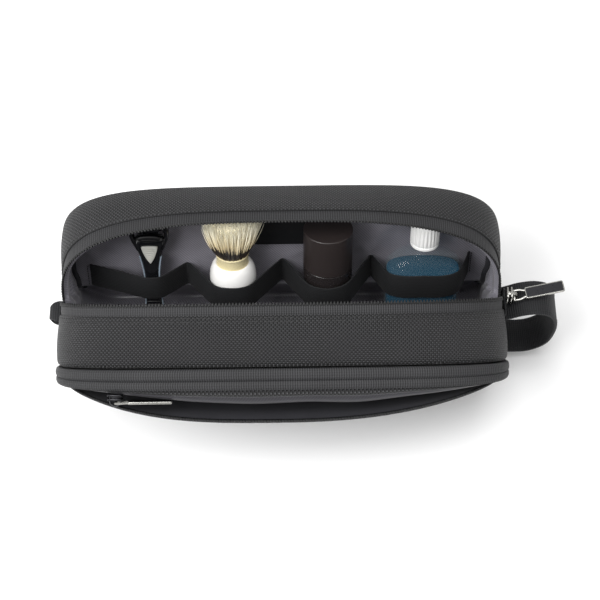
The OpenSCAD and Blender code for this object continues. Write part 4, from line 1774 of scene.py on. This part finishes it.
@dataclass
class Strap:
    """Elastic strap sewn to the back lining, with a loop round each item."""

    low: float = -13.5
    high: float = 3.5
    thick: float = 1.1
    wall_u: float = 33.3
    stitches: tuple = (-121.5, -59.0, 1.0, 57.0, 119.0)
    items: tuple = ((-81.0, 8.0, 5.6, 24.0), (-30.0, 14.7, 14.7, 18.0), (29.0, 15.2, 15.2, 18.0),
        (88.5, 23.7, 13.0, 19.6))

    def path(self) -> Array:
        """Give the strap's path seen from above, stretched over each item.

        Returns:
            Points of the path.
        """
        line = []
        for place, (x, a, b, u) in enumerate(self.items):
            ring = oval(a + 0.3 + self.thick / 2, b + 0.3 + self.thick / 2, 2.4, 160) + [x, u]
            left, right = self.stitches[place], self.stitches[place + 1]
            ends = np.array([[left, self.wall_u - 0.8], [right, self.wall_u - 0.8]])
            cloud = np.vstack([ring, ends])
            cloud = cloud[np.argsort(cloud[:, 0])]
            hull: list = []
            for point in cloud:
                if point[0] < left or point[0] > right:
                    continue
                while len(hull) > 1:
                    one, two = hull[-1] - hull[-2], point - hull[-1]
                    if one[0] * two[1] - one[1] * two[0] > 0:
                        break
                    hull.pop()
                hull.append(point)
            line.extend(hull)
        (line,) = resampled(np.array(line), 1.3)
        soft = line.copy()
        for _ in range(3):
            soft[1:-1] = (soft[:-2] + 2 * soft[1:-1] + soft[2:]) / 4
        return soft

    def rise(self, x: Array) -> Array:
        """Give how far the strap has crept up the bottle."""
        places = (-70.0, -35.0, 1.0, 29.0, 57.0, 88.0, 119.0)
        return np.interp(x, places, (0.0, 2.8, 3.2, 2.2, 5.2, 8.2, 6.6))

    def band(self) -> Object:
        """Make the strap, its long edges slightly rolled.

        Returns:
            The finished piece.
        """
        line = self.path()
        x, u = line.T
        gap = np.clip((self.wall_u - 0.8 - u) / 12, 0, 1)
        section = rounded(self.high - self.low, self.thick, 0.5, 4)
        mid = (self.low + self.high) / 2 + 0.35 * ripple(x, 0 * x, 24, 2.2) * gap
        mid = mid + self.rise(x)
        path = BACK.place(x, u, mid)
        up = BACK.place(x, u, mid + 1) - path
        shape = sweep(path, up, section)
        return piece("elastic_strap_band", shape, ELASTIC, "back_half", 60,
            stands="elastic_strap")

    def tacks(self) -> Object:
        """Make the box of stitches that holds the strap between two items.

        Returns:
            The finished piece.
        """
        rows = []
        for x in self.stitches:
            for side in (-1.2, 1.2):
                t = np.linspace(self.low + 1.5, self.high - 1.5, 8)
                path = BACK.place(x + side + 0 * t, self.wall_u - 1.5 + 0 * t, t + self.rise(x))
                rows.append(row_of(bead(1.6, 0.5, 0.4, 6), path, np.tile([1.0, 0, 0], (8, 1))))
        return piece("elastic_strap_tacks", joined(rows), THREAD, "back_half")

    def label(self) -> Object:
        """Make the plain rubber label behind the items.

        Returns:
            The finished piece.
        """
        shape = plate([rounded(33, 20, 1.5)], 0.9, 0.3)
        x, t, u = shape.points.T
        shape = Shape(BACK.place(x, self.wall_u - 0.9 + u, 27.5 + t), shape.faces, points_of(x, t))
        return piece("plain_label_patch", shape, LABEL, "back_half", 40, True,
            stands="label_patch")

    def build(self) -> list[Object]:
        """Make the strap, its stitches and the label."""
        return [self.band(), self.tacks(), self.label()]


def standing(shape: Shape, x: float, u: float) -> Shape:
    """Stand a shape drawn about its own axis in the back half."""
    return BACK.rigid(Shape(shape.points + [x, u, 0], shape.faces, shape.weave))


@dataclass
class Razor:
    """Cartridge razor with a pivoting head and a release button."""

    x: float = -81.0
    u: float = 24.0
    pivot: float = 37.0

    def handle(self) -> list[Object]:
        """Make the waisted handle, its fork arms, rubber pad and rails.

        Returns:
            The finished pieces.
        """
        body = loft([(-55, 1.5, 1.2, 2), (-54.2, 3.4, 2.4, 2.2), (-51, 5.2, 3.5, 2.4),
            (-46, 6.1, 4.1, 2.4), (-38, 6.5, 4.5, 2.4), (-28, 6.3, 4.6, 2.4), (-18, 5.7, 4.4, 2.4),
            (-8, 5.0, 4.1, 2.4), (0, 4.8, 3.9, 2.4), (7, 5.2, 3.9, 2.5), (13, 6.1, 4.1, 2.6),
            (19, 7.3, 4.2, 2.8), (25, 8.9, 4.2, 3), (29, 9.4, 3.9, 3), (31.5, 8.2, 3.0, 2.8),
            (32.6, 5.0, 1.4, 2.2)], 40)
        arms = []
        for sign in (1, -1):
            line = curve_through(np.array([(sign * 7.0, 0, 22), (sign * 8.9, 0, 26.5),
                (sign * 10.5, 0, 31), (sign * 10.8, 0, 35), (sign * 10.0, 0, 38.6)]), 8)
            arms.append(sweep(line, sideways(line), oval(2.7, 1.5, 2.4, 16)))
            hub = lathe([(0.1, -1.5), (2.2, -1.5), (2.4, -1.0), (2.4, 1.0), (2.2, 1.5), (0.1, 1.5)], 24)
            hub.points = hub.points[:, [2, 1, 0]] + [sign * 10.0, 0, self.pivot]
            arms.append(hub)
        pin = lathe([(1.25, -10.0), (1.25, 10.0)], 20)
        pin.points = pin.points[:, [2, 1, 0]] + [0, 0, self.pivot]
        shape = joined([body, *arms, pin])
        main = piece("razor_handle_body", standing(shape, self.x, self.u), BLACK_ABS,
            "back_half", 60, True, stands="razor_handle")
        pad = loft([(-0.8, 6.4, 2.1, 2.6), (0.0, 7.2, 2.4, 2.6), (0.6, 6.8, 2.2, 2.6),
            (0.9, 5.6, 1.6, 2.4)], 36)
        pad.points = pad.points[:, [0, 2, 1]] * [1, -1, 1] + [0, -3.9, 32.1]
        x = np.linspace(-4.4, 4.4, 14)
        dip = points_of(x, -5.0 + 0.012 * x * x, 32.0 - 0.02 * x * x)
        groove = sweep(dip, np.tile([0, 0, 1.0], (14, 1)), oval(0.35, 0.3, 2, 8))
        dark = piece("razor_rubber_pad", standing(pad + groove, self.x, self.u), RUBBER,
            "back_half", 60, True)
        rails = []
        for sign in (1, -1):
            line = np.array([(sign * w, -1.6, t) for w, t in ((5.9, -34), (5.3, -20), (4.75, -8),
                (4.6, 0), (4.9, 6), (5.7, 12), (6.6, 17))])
            line = curve_through(line, 6)
            rails.append(sweep(line, sideways(line), oval(1.5, 0.55, 2.4, 12)))
        rail = piece("razor_side_rails", standing(joined(rails), self.x, self.u), RAIL_ABS,
            "back_half", 60, True)
        grips = [bead(8.4 - 0.02 * abs(t + 28), 1.0, 0.9, 8).moved(np.eye(3), [0, -4.4, t])
            for t in np.arange(-46, -12, 2.6)]
        grip = piece("razor_grip_ribs", standing(joined(grips), self.x, self.u), RUBBER,
            "back_half", 60, True)
        return [main, dark, rail, grip]

    def button(self) -> Object:
        """Make the ribbed release button, a wedge with its point down.

        Returns:
            The finished piece.
        """
        outline = curve_through(np.array([(0, 13.4), (1.8, 16.2), (3.6, 20.4), (5.0, 25.4),
            (4.2, 26.5), (0, 26.8), (-4.2, 26.5), (-5.0, 25.4), (-3.6, 20.4), (-1.8, 16.2),
            (0, 13.4)]), 4)[:-1]
        base = plate([outline], 1.7, 0.4)
        base.points = base.points[:, [0, 2, 1]] * [1, -1, 1] + [0, -4.35, 0]
        ribs = [bead(2 * (1.0 + 0.3 * (t - 15.4)), 0.75, 0.7, 8).moved(np.eye(3), [0, -5.2, t])
            for t in np.arange(16.6, 25.6, 1.45)]
        return piece("razor_release_button", standing(joined([base, *ribs]), self.x, self.u),
            SILVER_ABS, "razor_button", 50, True, stands="razor_button")

    def head(self) -> list[Object]:
        """Make the cartridge with its guard fins, and its blades.

        Returns:
            The finished pieces.
        """
        shell = plate([rounded(40, 9, 2.2)], 4.4, 0.8).moved(np.eye(3), [0, 0, self.pivot + 7.2])
        lug = plate([rounded(12, 5.6, 1.2)], 5.2, 0.5).moved(np.eye(3), [0, 0, self.pivot + 2.9])
        eye = lathe([(2.9, -5.8), (2.9, 5.8)], 24)
        eye.points = eye.points[:, [2, 1, 0]] + [0, 0, self.pivot]
        fins = [bead(36, 0.5, 0.5, 6).moved(np.eye(3), [0, y, self.pivot + 9.5])
            for y in (-3.6, -4.1, 3.4)]
        body = piece("razor_cartridge", standing(joined([shell, lug, eye, *fins]), self.x,
            self.u), BLACK_ABS, "razor_head", 40, True, stands="razor_head")
        tilt = [[1, 0, 0], [0, 0.87, 0.5], [0, -0.5, 0.87]]
        strip = plate([rounded(36.4, 1.1, 0.2)], 0.25, 0.08)
        edges = [strip.moved(tilt, [0, y, self.pivot + 9.45]) for y in (-2.7, -0.9, 0.9)]
        blades = piece("razor_blade_edges", standing(joined(edges), self.x, self.u), BLADE,
            "razor_head", 30, True, stands="razor_blades")
        return [body, blades]

    def build(self) -> list[Object]:
        """Make the razor's pieces."""
        return [*self.handle(), self.button(), *self.head()]


@dataclass
class Brush:
    """Shaving brush: turned handle, collar and a fanned knot of hair."""

    x: float = -30.0
    u: float = 18.0
    radius: float = 14.6
    top: float = 14.3
    collar_h: float = 8.7
    hairs: int = 2600
    knot_top: float = 55.0

    def handle(self) -> Object:
        """Make the glossy turned handle.

        Returns:
            The finished piece.
        """
        r = self.radius
        profile = [(0.2, -48.0), (11.2, -48.0), (13.0, -47.2), (13.5, -45.2), (12.9, -42.0),
            (11.5, -38.0), (11.2, -33.0), (12.4, -26.0), (14.0, -18.0), (r, -9.0), (r, 4.0),
            (r - 0.3, 8.5), (r - 1.2, 12.0), (r - 2.6, 14.6), (r - 4.0, 15.8), (r - 5.0, 15.4),
            (0.2, self.top)]
        shape = lathe(profile, 72, 5)
        return piece("brush_turned_handle", standing(shape, self.x, self.u), RESIN,
            "back_half", 60, True, stands="brush_handle")

    def collar(self) -> Object:
        """Make the collar that holds the knot, with a rolled foot and lip.

        Returns:
            The finished piece.
        """
        r = 10.0
        low, high = self.top, self.top + self.collar_h
        profile = [(r - 1.5, low - 0.2), (r + 0.2, low), (r + 0.5, low + 0.6), (r - 0.1, low + 1.3),
            (r - 0.3, low + 4.0), (r, high - 1.4), (r + 0.35, high - 0.7), (r + 0.1, high),
            (r - 1.2, high + 0.1)]
        return piece("brush_collar_ring", standing(lathe(profile, 64, 4), self.x, self.u), COLLAR,
            "back_half", 60, True, stands="brush_ferrule")

    def knot(self) -> Object:
        """Make the knot as single tapered hairs over a dark core.

        Returns:
            The finished piece.
        """
        dice = np.random.default_rng(11)
        foot = self.top + self.collar_h - 1.0
        count = self.hairs
        turn = dice.uniform(0, math.tau, count)
        out = np.sqrt(dice.uniform(0.02, 1.0, count))
        root = points_of(9.4 * out * np.cos(turn), 9.4 * out * np.sin(turn))
        wide = out + dice.normal(0, 0.045, count)
        tip = points_of(18.0 * wide * np.cos(turn), 14.2 * wide * np.sin(turn))
        tip += dice.normal(0, 0.7, (count, 2))
        tip[:, 1] = np.clip(tip[:, 1], -14.6, 14.4)
        high = self.knot_top - 8.5 * out**2.4 + dice.normal(0, 0.7, count)
        high = np.minimum(high, self.knot_top + 0.4)
        shares = np.array([0.0, 0.2, 0.42, 0.64, 0.84, 1.0])
        thick = np.array([0.3, 0.3, 0.28, 0.24, 0.18, 0.07])
        corner = np.arange(3) * math.tau / 3
        bow = dice.normal(0, 0.5, (count, 2))
        rows = []
        for share, girth in zip(shares, thick):
            ease = share**0.85
            mid = root + (tip - root) * ease + bow * math.sin(math.pi * share)
            level = foot + (high - foot) * share
            rows.append(np.stack([mid[:, 0, None] + girth * np.cos(corner + turn[:, None]),
                mid[:, 1, None] + girth * np.sin(corner + turn[:, None]),
                np.repeat(level[:, None], 3, axis=1)], axis=2))
        points = np.stack(rows, axis=1)
        faces = []
        rings = len(shares)
        for n in range(count):
            base = n * rings * 3
            for r in range(rings - 1):
                for c in range(3):
                    d = (c + 1) % 3
                    faces.append((base + r * 3 + c, base + r * 3 + d, base + r * 3 + 3 + d,
                        base + r * 3 + 3 + c))
        weave = np.zeros((count, rings, 3, 2))
        weave[..., 0] = np.arange(count)[:, None, None]
        weave[..., 1] = shares[None, :, None]
        hair = Shape(points.reshape(-1, 3), faces, weave.reshape(-1, 2))
        core = loft([(foot, 9.0, 9.0, 2), (foot + 8, 11.4, 10.3, 2), (foot + 18, 14.2, 11.8, 2),
            (foot + 26, 13.4, 10.8, 2), (foot + 29, 9.5, 8.0, 2), (foot + 30.5, 4.0, 3.6, 2)], 40)
        core.weave = points_of(np.full(len(core.points), 7.0), (core.points[:, 2] - foot) / 33)
        return piece("brush_badger_knot", standing(hair + core, self.x, self.u), BRISTLE,
            "back_half", 80, stands="brush_bristles")

    def build(self) -> list[Object]:
        """Make the brush's pieces."""
        return [self.handle(), self.collar(), self.knot()]


@dataclass
class SprayCan:
    """Small spray can with a spray button under a lift-off cap."""

    x: float = 29.0
    u: float = 18.0
    r: float = 15.15
    foot: float = -55.0
    shoulder: float = 14.0
    cap_h: float = 26.0

    def body(self) -> list[Object]:
        """Make the lacquered body, its bare rim and the valve cup.

        Returns:
            The finished pieces.
        """
        r, low, high = self.r, self.foot, self.shoulder
        profile = [(0.2, low + 3.0), (r - 6, low + 2.4), (r - 3, low + 0.4), (r - 1.8, low),
            (r - 0.7, low + 0.6), (r - 0.2, low + 1.8), (r, low + 3.2), (r, low + 20), (r, high - 12),
            (r, high - 2.2), (r - 0.2, high - 1.2), (r - 0.6, high - 0.75)]
        made = piece("can_lacquered_body", standing(lathe(profile, 72, 3), self.x, self.u), LACQUER,
            "back_half", 40, True, stands="can_body")
        rim = [(r - 1.0, high - 1.2), (r - 0.25, high - 1.0), (r - 0.05, high - 0.6),
            (r - 0.3, high - 0.2), (r - 1.6, high - 0.15), (r - 2.0, high + 0.5),
            (r - 2.2, high + 1.3), (r - 5.0, high + 1.3), (r - 9.0, high + 0.9), (3.8, high + 0.7),
            (3.1, high + 0.6), (3.0, high - 5.0)]
        ring = piece("can_rolled_rim", standing(lathe(rim, 72, 3), self.x, self.u), RIM,
            "back_half", 50)
        return [made, ring]

    def cap(self) -> Object:
        """Make the hollow cap with its softly rounded top.

        Returns:
            The finished piece.
        """
        r, low = self.r + 0.02, self.shoulder
        high = low + self.cap_h
        profile = [(r - 1.0, low + 0.1), (r - 0.1, low + 0.05), (r, low + 0.5), (r, low + 10),
            (r, high - 2.0), (r, high - 0.7), (r - 0.2, high - 0.2), (r - 0.7, high),
            (r - 3, high - 0.02), (0.3, high)]
        outer = lathe(profile, 72, 4)
        inner = lathe([(r - 1.0, low + 0.1), (r - 1.05, high - 1.2), (0.3, high - 1.1)], 72)
        return piece("can_cap_shell", standing(outer + inner, self.x, self.u), CAP_BROWN,
            "can_cap", 50, stands="can_cap")

    def button(self) -> Object:
        """Make the spray button with its finger dish and nozzle.

        Returns:
            The finished piece.
        """
        base = self.shoulder
        shape = lathe([(1.6, base - 1.4), (1.65, base + 6.4), (6.2, base + 6.7), (6.5, base + 7.4),
            (6.4, base + 12.5), (6.0, base + 14.0), (5.2, base + 14.5), (3.0, base + 13.8),
            (0.2, base + 13.5)], 40)
        nozzle = lathe([(0.4, -0.6), (1.1, -0.5), (1.2, 0.4), (0.6, 0.5)], 20)
        nozzle.points = nozzle.points[:, [0, 2, 1]] * [1, -1, 1] + [0, -6.3, base + 10.5]
        return piece("can_spray_button", standing(shape + nozzle, self.x, self.u), WHITE_PP,
            "can_button", 45, True, stands="can_button")

    def build(self) -> list[Object]:
        """Make the can's pieces."""
        return [*self.body(), self.cap(), self.button()]


@dataclass
class Bottle:
    """Clear bottle of mouthwash with scalloped shoulders and a ribbed screw cap."""

    x: float = 88.5
    u: float = 19.6
    a: float = 23.6
    b: float = 12.9
    foot: float = -50.0
    fill: float = 8.0
    square: float = 2.6

    def wall(self, inset: float) -> list:
        """Give the level sections of the bottle, set in by inset.

        Args:
            inset: Distance in from the outside.

        Returns:
            Level, half width, half depth and squareness of each section.
        """
        a, b = self.a - inset, self.b - inset
        low = self.foot + inset
        return [(low, a - 3.5, b - 3.5, 2.4), (low + 0.6, a - 1.6, b - 1.6, 2.5),
            (low + 2.2, a - 0.4, b - 0.4, self.square), (low + 5, a, b, self.square),
            (-20, a, b, self.square), (4, a, b, self.square), (8, a, b, self.square),
            (11, a - 0.3, b - 0.3, self.square), (13.5, a - 1.2, b - 0.9, self.square),
            (15.5, a - 2.6, b - 1.6, 2.5), (17.5, a - 5.0, b - 2.6, 2.4),
            (19.4, a - 8.6, b - 3.8, 2.3), (21.0, a - 12.4, b - 5.0, 2.1),
            (22.4, 8.2 - inset, 7.4 - inset, 2), (23.4, 7.0 - inset, 6.9 - inset, 2),
            (24.6, 6.8 - inset, 6.8 - inset, 2)]

    def scalloped(self, shape: Shape, deep: float) -> Shape:
        """Press a wave of scallops into the shoulder.

        Args:
            shape: The upright shape.
            deep: Depth as a share of the radius.

        Returns:
            The shape with scallops.
        """
        x, y, z = shape.points.T
        turn = np.arctan2(y * self.a / self.b, x)
        wave = 0.5 + 0.5 * np.cos(turn * 12)
        line = 12.2 + 2.4 * wave
        share = 1 - deep * np.exp(-(((z - line) / 1.5) ** 2))
        return Shape(points_of(x * share, y * share, z), shape.faces, shape.weave)

    def fine(self, sections: list, steps: int) -> list:
        """Add sections between the given ones along a smooth curve."""
        return [tuple(row) for row in curve_through(np.array(sections, float), steps)]

    def glass(self) -> Object:
        """Make the clear wall with its neck.

        Returns:
            The finished piece.
        """
        neck = [(32.0, 6.8, 6.8, 2), (39.6, 6.8, 6.8, 2), (40.0, 6.4, 6.4, 2)]
        outside = self.fine(self.wall(0), 6) + neck
        outer = self.scalloped(loft(outside, 120), 0.035)
        return piece("bottle_clear_wall", standing(outer, self.x, self.u), PET,
            "back_half", 60, stands="bottle_body")

    def liquid(self) -> Object:
        """Make the mouthwash, filled to just below the shoulder.

        Returns:
            The finished piece.
        """
        rows = [row for row in self.fine(self.wall(1.05), 6) if row[0] < self.fill - 0.3]
        last = rows[-1]
        rows.append((self.fill - 0.1, last[1] - 0.1, last[2] - 0.1, last[3]))
        rows.append((self.fill, last[1] - 0.9, last[2] - 0.9, last[3]))
        rows.append((self.fill - 0.15, last[1] - 3, last[2] - 3, last[3]))
        shape = self.scalloped(loft(rows, 120), 0.035)
        return piece("bottle_mouthwash", standing(shape, self.x, self.u), MOUTHWASH,
            "back_half", 60, True, stands="bottle_liquid")

    def cap(self) -> Object:
        """Make the ribbed cap with its smooth domed top and tamper ring.

        Returns:
            The finished piece.
        """
        low, high = 26.5, 44.0
        sides = 144
        turn = np.arange(sides) * math.tau / sides
        rows = []
        for level, radius, rib in ((low, 8.3, 0.0), (low + 0.2, 8.75, 0.0), (low + 1.6, 8.8, 0.0),
                (low + 1.9, 8.35, 0.0), (low + 2.3, 8.35, 0.0), (low + 2.7, 8.7, 0.32),
                (low + 8.0, 8.65, 0.32), (high - 4.2, 8.6, 0.32), (high - 3.0, 8.5, 0.12),
                (high - 2.2, 8.3, 0.0), (high - 1.0, 7.8, 0.0), (high - 0.3, 7.0, 0.0),
                (high, 5.6, 0.0), (high, 0.2, 0.0)):
            r = radius + rib * np.sign(np.cos(turn * 24)) * np.abs(np.cos(turn * 24)) ** 0.5
            rows.append(points_of(r * np.cos(turn), r * np.sin(turn), np.full(sides, level)))
        shape = grid(np.array(rows), round_cols=True)
        inside = lathe([(8.3, low), (7.3, low + 0.1), (7.2, high - 1.4), (0.2, high - 1.3)], 48)
        return piece("bottle_screw_cap", standing(shape + inside, self.x, self.u), WHITE_PP,
            "bottle_cap", 50, stands="bottle_cap")

    def build(self) -> list[Object]:
        """Make the bottle's pieces."""
        return [self.glass(), self.liquid(), self.cap()]


# ---- studio


@dataclass
class Studio:
    """Pale floor, soft lights and the camera."""

    eye: tuple = (0.0, -0.3486, 0.8506)
    pitch: float = 24.0
    roll: float = -0.3
    lens: float = 83.1
    shift: float = 0.0308
    turn: float = -0.5

    def camera(self) -> None:
        """Stand the camera above the front."""
        data = bpy.data.cameras.new("camera")
        data.lens = self.lens
        data.sensor_width = 36
        data.shift_x = self.shift
        made = bpy.data.objects.new("camera", data)
        swing = Matrix.Rotation(math.radians(self.turn), 3, "Z")
        made.location = swing @ Vector(self.eye)
        turn = swing @ Matrix.Rotation(math.radians(self.pitch), 3, "X")
        made.rotation_euler = (turn @ Matrix.Rotation(math.radians(self.roll), 3, "Z")).to_euler()
        bpy.context.scene.collection.objects.link(made)
        bpy.context.scene.camera = made

    def lamp(self, name: str, at: tuple, size: float, power: float) -> None:
        """Hang a soft square lamp that faces the bag.

        Args:
            name: Name of the lamp.
            at: Its place in metres.
            size: Its side in metres.
            power: Its power in watts.
        """
        data = bpy.data.lights.new(name, "AREA")
        data.size = size
        data.energy = power
        made = bpy.data.objects.new(name, data)
        made.location = at
        made.rotation_euler = (Vector((0, 0, 0.06)) - Vector(at)).to_track_quat("-Z", "Y").to_euler()
        bpy.context.scene.collection.objects.link(made)

    def floor(self) -> None:
        """Lay the pale floor."""
        mesh = bpy.data.meshes.new("floor")
        side = 6.0
        mesh.from_pydata([(-side, -side, 0), (side, -side, 0), (side, side, 0), (-side, side, 0)], [],
            [(0, 1, 2, 3)])
        mesh.materials.append(Solid("matt_white_sweep", "#fbfbfb", 0.9, mottle=0.0).build())
        made = bpy.data.objects.new("floor", mesh)
        bpy.context.scene.collection.objects.link(made)

    def build(self) -> None:
        """Set up the whole studio."""
        world = bpy.data.worlds.new("studio")
        world.use_nodes = True
        sky = world.node_tree.nodes["Background"]
        sky.inputs["Color"].default_value = (1, 1, 1, 1)
        sky.inputs["Strength"].default_value = 0.66
        bpy.context.scene.world = world
        bpy.context.scene.view_settings.view_transform = "Standard"
        self.floor()
        self.lamp("key", (-0.7, -0.35, 1.1), 0.7, 14.0)
        self.lamp("side", (-1.3, -0.45, 0.6), 1.4, 3.5)
        self.lamp("top", (0.1, 0.0, 1.3), 0.6, 6.0)
        self.camera()


def dress_frame() -> None:
    """Give the carried-over board its own finish."""
    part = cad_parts["base_board"]
    part.data.materials.clear()
    part.data.materials.append(material_of(BOARD))


def main() -> None:
    """Build the scene piece by piece and report each."""
    logging.basicConfig(level=logging.INFO, format="%(message)s")
    Studio().build()
    dress_frame()
    pocket = Pocket()
    metal = ZipMetal(pocket)
    made = [*SoftHalf(BACK, tape_w=11.4).build(), *SoftHalf(FRONT, BagForm(half_w=135.8),
        tape_w=7.6).build(), *pocket.build(), *metal.main(), *metal.outer(), *Ends().build(),
        *Strap().build(), *Razor().build(), *Brush().build(), *SprayCan().build(), *Bottle().build()]
    log.info("built %d pieces", len(made))
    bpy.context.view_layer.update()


if __name__ == "__main__":
    main()
